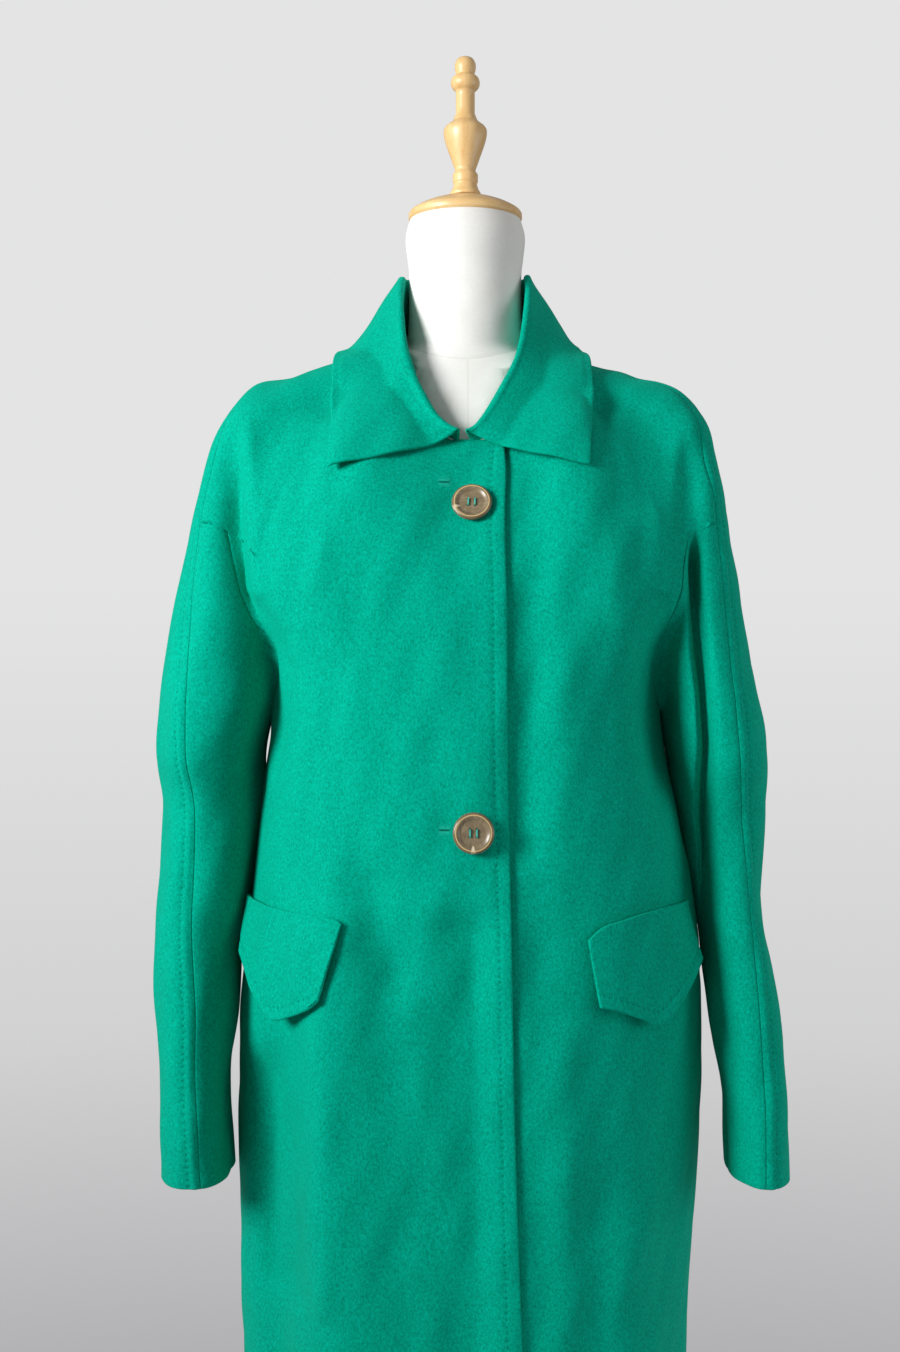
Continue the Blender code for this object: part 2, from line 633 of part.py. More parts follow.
def front_grid(side):
    """A front panel: rows from the hem up, columns from its free edge to its side."""
    lines = SEAMS[side]
    outer_edge = [lines["flank"][::-1], lines["armhole"][::-1][1:], lines["shoulder"][::-1][1:]]
    outer_edge = np.concatenate(outer_edge)
    free_edge = front_edge(side)
    hem = seam(hem_line(free_edge[0], lines["flank"][-1], -1), "body", FRONT_COLUMNS)
    hem[:, 2] = COAT_HEM
    hem[0], hem[-1] = free_edge[0], outer_edge[0]
    neck = mirrored(NECK_FRONT, side)
    if side == RIGHT:
        neck[0] = level_point(TOP_EDGE_END)
    neck = seam([free_edge[-1], *neck, lines["shoulder"][0]], "body", FRONT_COLUMNS)
    neck[0], neck[-1] = free_edge[-1], outer_edge[-1]
    return panel(hem, neck, free_edge, outer_edge, "body")


def hem_line(start, end, front):
    """Points round the hem between two of its points, through the front (-1) or the back (1)."""
    low = {name: float(BODY[name][0]) for name in ("right", "left", "front", "back", "square")}
    depth = low["front"] if front < 0 else low["back"]
    points = [start]
    for x in np.linspace(start[0], end[0], 14)[1:-1]:
        half = low["right"] if x < 0 else low["left"]
        y = depth * max(1 - abs(x / half) ** low["square"], 0) ** (1 / low["square"])
        points.append((x, front * y, COAT_HEM))
    return [*points, end]


def lap_depth(grid):
    """How far the underlapping front is set in, below the other front and beside its edge."""
    edge_x, edge_z = np.array(RIGHT_EDGE[::-1]).T
    past = grid[..., 0] - np.interp(grid[..., 2], edge_z, edge_x)
    return (CLOTH + LAP_GAP) * (1 - ease(*LAP_RISE, past)) * (grid[..., 1] < 0)


HALF_GAP = SEAM_GAP / 2
FRONTS = {}
for side in (RIGHT, LEFT):
    grid = front_grid(side)
    FRONTS[side] = grid
    sunk = lap_depth(grid) if side == LEFT else 0.0
    faces = wall(grid, "body", sunk=sunk, top=HALF_GAP, right=HALF_GAP)
    add_cloth(f"front_{SIDE_NAME[side]}", *faces)


def back_grid():
    """The back: rows from the hem up, columns from the wearer's right to left."""
    right, left = [
        np.concatenate([SEAMS[side]["flank"][::-1], SEAMS[side]["raglan"][::-1][1:]])
        for side in (RIGHT, LEFT)
    ]
    hem = seam(hem_line(right[0], left[0], 1), "body", BACK_COLUMNS)
    hem[:, 2] = COAT_HEM
    neck = seam([right[-1], NECK_MIDDLE_BACK, left[-1]], "body", BACK_COLUMNS)
    hem[0], hem[-1], neck[0], neck[-1] = right[0], left[0], right[-1], left[-1]
    return panel(hem, neck, right, left, "body")


BACK = back_grid()
add_cloth("back", *wall(BACK, "body", top=HALF_GAP, left=HALF_GAP, right=HALF_GAP))

SLEEVE_FRONT_COLUMNS, SLEEVE_BACK_COLUMNS = ARMHOLE_ROWS, 10


def cuff_line(side, start, end, count):
    """Points round the cuff between two angles of the last station."""
    line = seam(arm_points(side, np.full(24, CUFF), np.linspace(start, end, 24)), "sleeve", count)
    line[:, 2] = float(ARM[side]["out_z"][-1])
    return line


def sleeve_panel(side, bottom, top, left, right, behind):
    """A patch of the sleeve between four seam lines, round its front or its back."""
    edges = (bottom, top, left, right)
    places = [np.stack(arm_places(side, line, behind), -1) for line in edges]
    station, degrees = np.moveaxis(coons(*places), -1, 0)
    return panel(bottom, top, left, right, "sleeve", arm_points(side, station, degrees))


def sleeve_grids(side):
    """The two sleeve pieces: rows from the cuff up, columns from the top seam to the one below the arm."""
    lines = SEAMS[side]
    top_angle = float(ARM[side]["seam"][-1])
    front_cuff = cuff_line(side, top_angle, 180, SLEEVE_FRONT_COLUMNS)
    front_cuff[0], front_cuff[-1] = lines["sleeve_top"][-1], lines["under"][-1]
    edges = lines["sleeve_top"][::-1], lines["under"][::-1]
    front = sleeve_panel(side, front_cuff, lines["armhole"], *edges, behind=False)
    back_cuff = cuff_line(side, top_angle, -180, SLEEVE_BACK_COLUMNS)
    back_cuff[0], back_cuff[-1] = lines["sleeve_top"][-1], lines["under"][-1]
    neck = [lines["shoulder"][0], *mirrored(NECK_BACK, side), lines["raglan"][0]]
    neck = seam(neck, "body", SLEEVE_BACK_COLUMNS)
    neck[0], neck[-1] = lines["shoulder"][0], lines["raglan"][0]
    long_edge = np.concatenate([lines["sleeve_top"][::-1], lines["shoulder"][::-1][1:]])
    under_edge = np.concatenate([lines["under"][::-1], lines["raglan"][::-1][1:]])
    back = sleeve_panel(side, back_cuff, neck, long_edge, under_edge, behind=True)
    return front, back


SLEEVES = {}
for side in (RIGHT, LEFT):
    front, back = sleeve_grids(side)
    SLEEVES[side] = (front, back)
    for name, grid in (("front", front), ("back", back)):
        faces = wall(grid, "sleeve", top=HALF_GAP, left=HALF_GAP, right=HALF_GAP)
        add_cloth(f"sleeve_{name}_{SIDE_NAME[side]}", *faces)


# ---------------------------------------------------------------- collar

# From the middle of the front to the middle of the back: the roll, the leaf's middle and its free edge.
COLLAR_COLUMNS = "at roll_x roll_y roll_z mid_x mid_y mid_z edge_x edge_y edge_z".split()
COLLAR = {
    RIGHT: (
        (0.00, -0.0080, -0.1000, 1.3318, -0.0560, -0.1010, 1.3060, -0.1120, -0.1050, 1.2910),
        (0.08, -0.0175, -0.0970, 1.3360, -0.0640, -0.0960, 1.3180, -0.1136, -0.0980, 1.3110),
        (0.18, -0.0290, -0.0920, 1.3475, -0.0750, -0.0850, 1.3400, -0.1145, -0.0870, 1.3360),
        (0.30, -0.0410, -0.0830, 1.3690, -0.0850, -0.0700, 1.3650, -0.1160, -0.0680, 1.3620),
        (0.42, -0.0510, -0.0680, 1.3990, -0.0880, -0.0480, 1.3920, -0.1160, -0.0420, 1.3870),
        (0.54, -0.0565, -0.0440, 1.4400, -0.0870, -0.0220, 1.4250, -0.1130, -0.0120, 1.4030),
        (0.66, -0.0580, -0.0100, 1.4720, -0.0850, 0.0120, 1.4420, -0.1050, 0.0270, 1.4080),
        (0.78, -0.0545, 0.0260, 1.4840, -0.0720, 0.0480, 1.4480, -0.0870, 0.0660, 1.4080),
        (0.90, -0.0320, 0.0520, 1.4880, -0.0420, 0.0740, 1.4480, -0.0500, 0.0920, 1.4060),
        (1.00, 0.0000, 0.0610, 1.4890, 0.0000, 0.0830, 1.4480, 0.0000, 0.1010, 1.4050),
    ),
    LEFT: (
        (0.00, 0.0010, -0.1000, 1.3325, 0.0500, -0.1010, 1.3080, 0.1000, -0.1050, 1.2920),
        (0.08, 0.0090, -0.0980, 1.3360, 0.0560, -0.0960, 1.3220, 0.1028, -0.0980, 1.3150),
        (0.18, 0.0200, -0.0920, 1.3500, 0.0660, -0.0850, 1.3440, 0.1062, -0.0870, 1.3390),
        (0.30, 0.0330, -0.0820, 1.3740, 0.0760, -0.0700, 1.3690, 0.1100, -0.0670, 1.3660),
        (0.42, 0.0430, -0.0680, 1.4010, 0.0800, -0.0480, 1.3950, 0.1100, -0.0420, 1.3890),
        (0.54, 0.0510, -0.0440, 1.4370, 0.0820, -0.0220, 1.4240, 0.1080, -0.0120, 1.4040),
        (0.66, 0.0572, -0.0100, 1.4710, 0.0830, 0.0120, 1.4420, 0.1030, 0.0270, 1.4080),
        (0.78, 0.0535, 0.0260, 1.4840, 0.0710, 0.0480, 1.4480, 0.0860, 0.0660, 1.4080),
        (0.90, 0.0320, 0.0520, 1.4880, 0.0420, 0.0740, 1.4480, 0.0500, 0.0920, 1.4060),
        (1.00, 0.0000, 0.0610, 1.4890, 0.0000, 0.0830, 1.4480, 0.0000, 0.1010, 1.4050),
    ),
}
COLLAR_STATIONS = 14  # on each side
ROLL_RADIUS = 0.0027  # of the fold's middle surface
COLLAR_START = {RIGHT: (-0.0070, -0.0880, 1.3211), LEFT: (0.0035, -0.0880, 1.3211)}  # of its neck seam
COLLAR_GAP = 0.0023  # between the collar and the neck edges that it is sewn to
LEAF_CLEAR = 0.0024  # the leaf's underside above the coat, at least


def neckline(side, count):
    """The collar's seam with the coat, from the middle of the front to the middle of the back."""
    front = FRONTS[side][-1]
    start = np.array(level_point(COLLAR_START[side]))
    past = side * (front[:, 0] - start[0]) > 0.006
    points = [start, *front[past][:-1], *SLEEVES[side][1][-1][:-1]]
    middle = BACK_COLUMNS // 2
    back = BACK[-1] if side == RIGHT else BACK[-1][::-1]
    points += [*back[:middle], (0.0, *NECK_MIDDLE_BACK[1:])]
    return seam(points, "body", count)


def collar_half(side):
    """Section lines of one half of the collar: its seam, stand, roll and leaf, front to back."""
    rows = table(" ".join(COLLAR_COLUMNS), *COLLAR[side])
    at = np.linspace(0, 1, COLLAR_STATIONS)
    place = {
        name: np.stack([read(rows, f"{name}_{axis}", at) for axis in "xyz"], -1)
        for name in ("roll", "mid", "edge")
    }
    base = neckline(side, COLLAR_STATIONS)
    normal = normals_at(base, "body")
    tangent = np.gradient(base, axis=0)
    into_neck = np.cross(normal, tangent)
    into_neck /= np.linalg.norm(into_neck, axis=1, keepdims=True)
    into_neck *= np.sign((into_neck * (place["roll"] - base)).sum(-1, keepdims=True))
    foot = base - normal * CLOTH / 2 + into_neck * COLLAR_GAP
    sections = []
    for i in range(COLLAR_STATIONS):
        roll, mid, edge = (place[name][i] for name in ("roll", "mid", "edge"))
        leafward = mid - roll
        leafward /= np.linalg.norm(leafward)
        line = roll_section(foot[i], into_neck[i], roll, leafward, mid, edge)
        sections.append(line)
    return np.array(sections)


STAND_POINTS, LEAF_POINTS = 4, 7
STAND_LEAN = 0.003  # the stand leans in this far before it turns up


def roll_section(foot, rise, roll, leafward, mid, edge):
    """One section of the collar's middle surface, from the seam over the roll to the free edge."""
    up = roll - foot
    height = np.linalg.norm(up)
    up = up / height
    across = leafward - (leafward @ up) * up
    across /= np.linalg.norm(across)
    inner = roll - up * ROLL_RADIUS - across * ROLL_RADIUS
    outer = roll - up * ROLL_RADIUS + across * ROLL_RADIUS
    reach = np.linalg.norm(inner - foot)
    stand = []
    for t in np.linspace(0, 1, STAND_POINTS):
        pull = foot + rise * STAND_LEAN + up * reach * 0.3
        stand.append((1 - t) ** 2 * foot + 2 * t * (1 - t) * pull + t * t * inner)
    turn = [
        roll - up * ROLL_RADIUS + ROLL_RADIUS * (math.sin(a) * up - math.cos(a) * across)
        for a in np.linspace(0, math.pi, 5)[1:-1]
    ]
    leaf = []
    for t in np.linspace(0, 1, LEAF_POINTS):
        leaf.append((1 - t) * (1 - 2 * t) * outer + 4 * t * (1 - t) * mid + t * (2 * t - 1) * edge)
    return np.array([*stand, *turn, *leaf])


def collar_grid():
    """The collar's middle surface: rows round the neck from the wearer's right front to the left."""
    right, left = collar_half(RIGHT), collar_half(LEFT)
    grid = np.concatenate([right, left[::-1][1:]])
    first = STAND_POINTS + 3
    leaf = grid[:, first:]
    flat = leaf.reshape(-1, 3)
    height = coat_field(flat, "body").reshape(leaf.shape[:2])
    least = LEAF_CLEAR + COLLAR_CLOTH / 2
    grid[:, first:] = settle(leaf, "body", np.maximum(height, least), steps=5)
    return grid


def surface_normals(grid):
    """Unit normals of a grid of points, from its own neighbours."""
    normal = np.cross(np.gradient(grid, axis=1), np.gradient(grid, axis=0))
    return normal / np.linalg.norm(normal, axis=-1, keepdims=True)


COLLAR_MIDDLE = collar_grid()
normal = surface_normals(COLLAR_MIDDLE)
add_cloth("collar", COLLAR_MIDDLE + normal * COLLAR_CLOTH / 2, COLLAR_MIDDLE - normal * COLLAR_CLOTH / 2)

# ---------------------------------------------------------------- pocket flaps

# The flap's outline as x, z at its left, middle and right, down from its top seam to its pointed edge.
FLAP_COLUMNS = "across top_x top_z low_x low_z"
FLAPS = {
    RIGHT: table(
        FLAP_COLUMNS,
        (0.00, -0.1900, 0.9270, -0.1850, 0.8800),
        (0.20, -0.1660, 0.9245, -0.1715, 0.8500),
        (0.36, -0.1480, 0.9225, -0.1560, 0.8330),
        (0.60, -0.1240, 0.9200, -0.1360, 0.8375),
        (0.80, -0.1080, 0.9175, -0.1210, 0.8450),
        (1.00, -0.1010, 0.9135, -0.1120, 0.8540),
    ),
    LEFT: table(
        FLAP_COLUMNS,
        (0.00, 0.1900, 0.9255, 0.1930, 0.8760),
        (0.20, 0.1680, 0.9245, 0.1800, 0.8560),
        (0.40, 0.1480, 0.9220, 0.1560, 0.8310),
        (0.60, 0.1280, 0.9180, 0.1400, 0.8360),
        (0.80, 0.1100, 0.9130, 0.1220, 0.8440),
        (1.00, 0.0980, 0.9030, 0.1050, 0.8490),
    ),
}
FLAP_COLUMNS_COUNT, FLAP_ROWS = 11, 7
FLAP_CLEAR = {RIGHT: 0.0019, LEFT: 0.0011}  # its underside above the front, along its seam
FLAP_LIFT = 0.0085  # its lower edge above the front


def flap_grid(side):
    """A flap's middle surface, its first row along the seam that holds it."""
    tab = FLAPS[side]
    across = np.linspace(0, 1, FLAP_COLUMNS_COUNT)
    down = np.linspace(0, 1, FLAP_ROWS)[:, None]
    x = (1 - down) * read(tab, "top_x", across) + down * read(tab, "low_x", across)
    z = (1 - down) * read(tab, "top_z", across) + down * read(tab, "low_z", across)
    front = read(BODY, "front", z.ravel()).reshape(z.shape)
    half = read(BODY, SIDE_NAME[side], z.ravel()).reshape(z.shape)
    y = -front * np.maximum(1 - np.abs(x / half) ** 2.3, 0.02) ** (1 / 2.3)
    least = FLAP_CLOTH / 2 + FLAP_CLEAR[side]
    level = least + FLAP_LIFT * down**1.5 * np.ones_like(x)
    return settle(np.stack([x, y, z], -1), "body", level)


for side in (RIGHT, LEFT):
    middle = flap_grid(side)
    normal = surface_normals(middle)
    faces = middle + normal * FLAP_CLOTH / 2, middle - normal * FLAP_CLOTH / 2
    add_cloth(f"pocket_flap_{SIDE_NAME[side]}", *faces)


# ---------------------------------------------------------------- turned parts, dress form and stand


def add_turned(name, profile, steps, colour, roughness, place=None):
    """A profile of radius and height, from its top down its outer side, turned about its own axis."""
    mesh = bpy.data.meshes.new(name)
    mesh.from_pydata([(r, 0, z) for r, z in profile], [(i, i + 1) for i in range(len(profile) - 1)], [])
    part = bpy.data.objects.new(name, mesh)
    PARTS.objects.link(part)
    if place is not None:
        part.matrix_world = place
    screw = part.modifiers.new("turn", "SCREW")
    screw.steps = screw.render_steps = steps
    screw.use_merge_vertices = True
    screw.merge_threshold = 0.00001
    material = bpy.data.materials.new(name)
    material.use_nodes = True
    shader = material.node_tree.nodes["Principled BSDF"]
    shader.inputs["Base Color"].default_value = (*colour, 1.0)
    shader.inputs["Roughness"].default_value = roughness
    mesh.materials.append(material)
    return part


WOOD = (0.720, 0.440, 0.180)
LINEN = (0.860, 0.850, 0.820)
HORN = (0.160, 0.105, 0.070)
THREAD = (0.010, 0.250, 0.150)
FORM_GAP = 0.0097  # between the coat's inside and the form that it hangs on
FORM_FOOT = 0.78

# Horizontal sections of the dress form, before it is drawn in to fit below the coat.
FORM = table(
    "height half front back square",
    (0.780, 0.1580, 0.1000, 0.0960, 2.2),
    (0.840, 0.1700, 0.1100, 0.1080, 2.2),
    (0.920, 0.1720, 0.1130, 0.1120, 2.2),
    (1.000, 0.1530, 0.1060, 0.0980, 2.2),
    (1.070, 0.1290, 0.1010, 0.0860, 2.2),
    (1.140, 0.1370, 0.1130, 0.0920, 2.2),
    (1.200, 0.1490, 0.1280, 0.0990, 2.3),
    (1.260, 0.1640, 0.1210, 0.1030, 2.3),
    (1.310, 0.1850, 0.0870, 0.1010, 2.4),
    (1.345, 0.1920, 0.0730, 0.0930, 2.4),
    (1.370, 0.1840, 0.0620, 0.0840, 2.3),
    (1.388, 0.1380, 0.0560, 0.0720, 2.2),
    (1.400, 0.0900, 0.0530, 0.0640, 2.1),
    (1.412, 0.0580, 0.0515, 0.0560, 2.0),
    (1.425, 0.0530, 0.0508, 0.0525, 2.0),
    (1.440, 0.0515, 0.0508, 0.0510, 2.0),
    (1.460, 0.0510, 0.0508, 0.0508, 2.0),
    (1.485, 0.0510, 0.0508, 0.0508, 2.0),
    (1.500, 0.0528, 0.0528, 0.0528, 2.0),
    (1.518, 0.0542, 0.0542, 0.0542, 2.0),
    (1.5330, 0.0505, 0.0505, 0.0505, 2.0),
)
FORM_HEIGHTS = np.concatenate(
    [
        np.linspace(FORM_FOOT, 1.30, 11),
        (1.325, 1.345, 1.362, 1.375, 1.386, 1.395, 1.403, 1.411, 1.419, 1.428, 1.440, 1.456),
        (1.475, 1.500, 1.518, 1.5330),
    ]
)
FORM_SIDES = 32


def ring(half, front, back, square, height, sides):
    """Points round a horizontal section with the given half width and depths."""
    turn = np.linspace(0, 2 * math.pi, sides, endpoint=False)
    c, s = np.cos(turn), np.sin(turn)
    x = half * np.sign(c) * np.abs(c) ** (2 / square)
    y = np.where(s < 0, front, back) * np.sign(s) * np.abs(s) ** (2 / square)
    return np.stack([x, y, np.full(sides, height)], -1)


def form_rings():
    """The dress form's sections, kept inside the coat."""
    names = ("half", "front", "back", "square")
    rings = np.array([ring(*(float(read(FORM, n, z)) for n in names), z, FORM_SIDES) for z in FORM_HEIGHTS])
    under_coat = FORM_HEIGHTS < 1.43
    flat = rings[under_coat].reshape(-1, 3)
    lap = (CLOTH + LAP_GAP) * (1 - ease(0.050, 0.085, np.abs(flat[:, 0]))) * (flat[:, 1] < 0)
    opening = (flat[:, 0] / 0.065) ** 2 + ((flat[:, 1] + 0.0145) / 0.0805) ** 2
    deepest = -(CLOTH + FORM_GAP + lap) + 0.5 * np.maximum(0.72 - opening, 0)
    height = coat_field(flat, "body")
    outside = height > deepest
    flat[outside] = settle(flat[outside], "body", deepest[outside])
    rings[under_coat] = flat.reshape(-1, FORM_SIDES, 3)
    return rings


def add_lofted(name, rings, colour, roughness):
    """A solid through closed rings of the same count, from the bottom up, with flat ends."""
    count, sides = rings.shape[:2]
    faces = [list(range(sides))[::-1], [(count - 1) * sides + i for i in range(sides)]]
    for r in range(count - 1):
        for i in range(sides):
            j = (i + 1) % sides
            faces.append([r * sides + i, r * sides + j, (r + 1) * sides + j, (r + 1) * sides + i])
    return add_part(name, rings.reshape(-1, 3), faces, colour, roughness)


add_lofted("form_body", form_rings(), LINEN, 0.8)

CAP = ((0, 1.5560), (0.0150, 1.5550), (0.0280, 1.5515), (0.0400, 1.5470), (0.0490, 1.5420), (0.0515, 1.5390))
CAP += ((0.0515, 1.5350), (0.0500, 1.53335), (0, 1.53335))
add_turned("neck_cap", CAP, 28, WOOD, 0.45)

FINIAL = (
    (0, 1.6830),
    (0.0060, 1.6815),
    (0.0092, 1.6770),
    (0.0095, 1.6720),
    (0.0082, 1.6660),
    (0.0118, 1.6635),
    (0.0132, 1.6590),
    (0.0120, 1.6545),
    (0.0086, 1.6510),
    (0.0086, 1.6310),
    (0.0115, 1.6240),
    (0.0178, 1.6190),
    (0.0197, 1.6150),
    (0.0185, 1.6060),
    (0.0130, 1.5900),
    (0.0091, 1.5790),
    (0.0115, 1.5755),
    (0.0115, 1.5690),
    (0.0105, 1.5670),
    (0.0120, 1.5620),
    (0.0141, 1.5585),
    (0.0141, 1.5563),
    (0, 1.5563),
)
add_turned("finial", FINIAL, 16, WOOD, 0.45)

BASE_RADIUS, BASE_TOP = 0.185, 0.026
BASE = (
    (0, BASE_TOP),
    (0.150, BASE_TOP),
    (0.172, 0.0235),
    (BASE_RADIUS, 0.0150),
    (BASE_RADIUS, 0.0020),
    (0.183, 0.0),
    (0, 0.0),
)
add_turned("base", BASE, 36, WOOD, 0.45)
POLE_RADIUS = 0.0135
POLE_TOP = FORM_FOOT - 0.0003
POLE_FOOT = BASE_TOP + 0.0003
POLE = (
    (0, POLE_TOP),
    (0.0420, POLE_TOP),
    (0.0420, POLE_TOP - 0.010),
    (0.0220, POLE_TOP - 0.016),
    (POLE_RADIUS, POLE_TOP - 0.034),
    (POLE_RADIUS, POLE_FOOT + 0.030),
    (0.0220, POLE_FOOT + 0.014),
    (0.0300, POLE_FOOT + 0.006),
    (0.0300, POLE_FOOT),
    (0, POLE_FOOT),
)
add_turned("pole", POLE, 20, WOOD, 0.45)

# ---------------------------------------------------------------- buttons

BUTTON_RADIUS = 0.0170
BUTTON_BACK = 0.0021  # its underside above the front
BUTTON = (
    (0, 0.0028),
    (0.0098, 0.0029),
    (0.0116, 0.0036),
    (0.0134, 0.0046),
    (0.0152, 0.0047),
    (0.0166, 0.0038),
    (BUTTON_RADIUS, 0.0026),
    (0.0160, 0.0010),
    (0.0120, 0.0),
    (0, 0.0),
)
HOLE_PITCH, HOLE_RADIUS = 0.0028, 0.00115  # each hole's distance from both middle lines, and its radius
THREAD_RADIUS = 0.0007
SHANK_RADIUS, SHANK_TOP = 0.0044, -0.0003
BUTTONS = {"upper": (0.0033, 1.2850), "lower": (0.0052, 0.9915)}  # x, z of each middle


def button_place(x, z):
    """The place of a button on the right front, its own +Z out of the cloth and its +Y up."""
    point = settle(np.array([(x, -0.16, z)]), "body")
    out = Vector(normals_at(point, "body")[0])
    across = Vector((0, 0, 1)).cross(out).normalized()
    up = out.cross(across)
    turn = Matrix((across, up, out)).transposed().to_4x4()
    return Matrix.Translation(Vector(point[0]) + BUTTON_BACK * out) @ turn


def staple(x):
    """Rings of a thread that rises through one hole and goes down through the one below it."""
    top, foot = 0.0028 + 0.0003 + THREAD_RADIUS, SHANK_TOP - 0.0006
    path = (
        ((-HOLE_PITCH, foot), (-1, 0)),
        ((-HOLE_PITCH, top), (-1, 1)),
        ((HOLE_PITCH, top), (1, 1)),
        ((HOLE_PITCH, foot), (1, 0)),
    )
    turn = np.linspace(0, 2 * math.pi, 6, endpoint=False)
    thick = THREAD_RADIUS
    return [
        [(x + thick * math.cos(a), y + thick * math.sin(a) * my, z + thick * math.sin(a) * mz) for a in turn]
        for (y, z), (my, mz) in path
    ]


def hidden_mesh(name, verts, faces, place):
    """A helper for a Boolean, left out of the render."""
    mesh = bpy.data.meshes.new(name)
    mesh.from_pydata(verts, [], faces)
    work = bmesh.new()
    work.from_mesh(mesh)
    bmesh.ops.recalc_face_normals(work, faces=work.faces)
    work.to_mesh(mesh)
    work.free()
    helper = bpy.data.objects.new(name, mesh)
    helper.matrix_world = place
    helper.hide_render = True
    PARTS.objects.link(helper)
    return helper


def tubes(ring_sets):
    """Vertices and faces of closed tubes, each through its own rings."""
    verts, faces = [], []
    for rings in ring_sets:
        start, sides = len(verts), len(rings[0])
        verts += [v for one in rings for v in one]
        faces.append([start + i for i in range(sides)][::-1])
        faces.append([start + (len(rings) - 1) * sides + i for i in range(sides)])
        for r in range(len(rings) - 1):
            for i in range(sides):
                j = (i + 1) % sides
                low, high = start + r * sides, start + (r + 1) * sides
                faces.append([low + i, low + j, high + j, high + i])
    return verts, faces


def combine(part, helper, operation):
    step = part.modifiers.new(helper.name, "BOOLEAN")
    step.operation = operation
    step.solver = "EXACT"
    step.object = helper


def circle(x, y, z, radius, sides):
    turn = np.linspace(0, 2 * math.pi, sides, endpoint=False)
    return [(x + radius * math.cos(a), y + radius * math.sin(a), z) for a in turn]


for name, (x, z) in BUTTONS.items():
    place = button_place(x, z)
    button = add_turned(f"button_{name}", BUTTON, 24, HORN, 0.3, place)
    spots = [(sx * HOLE_PITCH, sy * HOLE_PITCH) for sx in (-1, 1) for sy in (-1, 1)]
    drills = tubes([[circle(*spot, z, HOLE_RADIUS, 10) for z in (-0.002, 0.006)] for spot in spots])
    combine(button, hidden_mesh(f"drill_{name}", *drills, place), "DIFFERENCE")
    foot = 0.0005 - BUTTON_BACK
    shank = ((0, SHANK_TOP), (SHANK_RADIUS, SHANK_TOP), (SHANK_RADIUS, foot), (0, foot))
    thread = add_turned(f"thread_{name}", shank, 16, THREAD, 0.8, place)
    staples = tubes([staple(-HOLE_PITCH), staple(HOLE_PITCH)])
    combine(thread, hidden_mesh(f"staples_{name}", *staples, place), "UNION")

bpy.context.scene.collection.children.link(PARTS)
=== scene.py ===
"""The dressed model of a wool coat on a limbless dress form, in metres, +Z up, its front towards -Y.

The cloth is built again here as a finer wall over the same outer form as the solids, with soft creases,
rounded edges, seams and rows of hand stitches. The form, the wooden parts and the buttons are turned and
lofted with finer steps, and every surface has a material made of nodes.
"""

import math

import bmesh
import bpy
import numpy as np
from mathutils import Matrix, Vector


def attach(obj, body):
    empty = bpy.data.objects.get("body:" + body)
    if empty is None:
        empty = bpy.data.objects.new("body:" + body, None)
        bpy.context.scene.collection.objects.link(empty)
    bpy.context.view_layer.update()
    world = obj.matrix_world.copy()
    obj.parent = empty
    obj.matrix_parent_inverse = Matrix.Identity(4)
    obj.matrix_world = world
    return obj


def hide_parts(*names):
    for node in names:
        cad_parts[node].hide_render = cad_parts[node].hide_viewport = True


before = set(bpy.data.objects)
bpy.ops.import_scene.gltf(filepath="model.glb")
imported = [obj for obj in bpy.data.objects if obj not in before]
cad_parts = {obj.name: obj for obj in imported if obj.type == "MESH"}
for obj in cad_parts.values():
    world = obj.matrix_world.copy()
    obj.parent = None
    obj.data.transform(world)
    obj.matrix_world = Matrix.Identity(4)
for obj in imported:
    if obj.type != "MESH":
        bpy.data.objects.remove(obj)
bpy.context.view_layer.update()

CLOTH = 0.0028  # thickness of the double-faced wool
COLLAR_CLOTH = 0.0032
FLAP_CLOTH = 0.0036
LAP_GAP = 0.0020  # between the two fronts where they lap
COAT_HEM = 0.35  # height of the hem above the floor
SLOT_TOP = 1.091  # below this height the sleeve hangs free of the body
DOME_BASE = 1.18  # the body rounds over towards the shoulders from here up
CUFF = 16.0  # the last station of the arm tables

RIGHT, LEFT = -1.0, 1.0  # the wearer's sides, as the sign of X
SIDE_NAME = {RIGHT: "right", LEFT: "left"}


def numbers(text):
    """Rows of numbers from lines of text."""
    return np.array([line.split() for line in text.strip().splitlines()], float)


def table(columns, rows):
    """Named columns of numbers. The first column is the one that the others are read by."""
    return dict(zip(columns.split(), numbers(rows).T))


# Horizontal sections of the coat's body: half widths on each side, front and back depths, squareness.
BODY = table("height right left front back square", """
        0.35 0.1950 0.1900 0.157 0.134 2.3
        0.51 0.1995 0.1970 0.165 0.138 2.3
        0.61 0.2025 0.2035 0.168 0.140 2.3
        0.71 0.2030 0.2090 0.170 0.141 2.3
        0.80 0.2020 0.2115 0.171 0.141 2.3
        0.88 0.1975 0.2105 0.170 0.139 2.3
        0.93 0.1920 0.2030 0.168 0.137 2.3
        0.98 0.1860 0.1940 0.165 0.134 2.3
        1.02 0.1815 0.1850 0.162 0.131 2.4
        1.07 0.1755 0.1755 0.158 0.127 2.5
        1.10 0.1735 0.1735 0.155 0.125 2.6
        1.13 0.1760 0.1760 0.152 0.122 2.8
        1.18 0.1930 0.1900 0.146 0.119 3.2
    """)

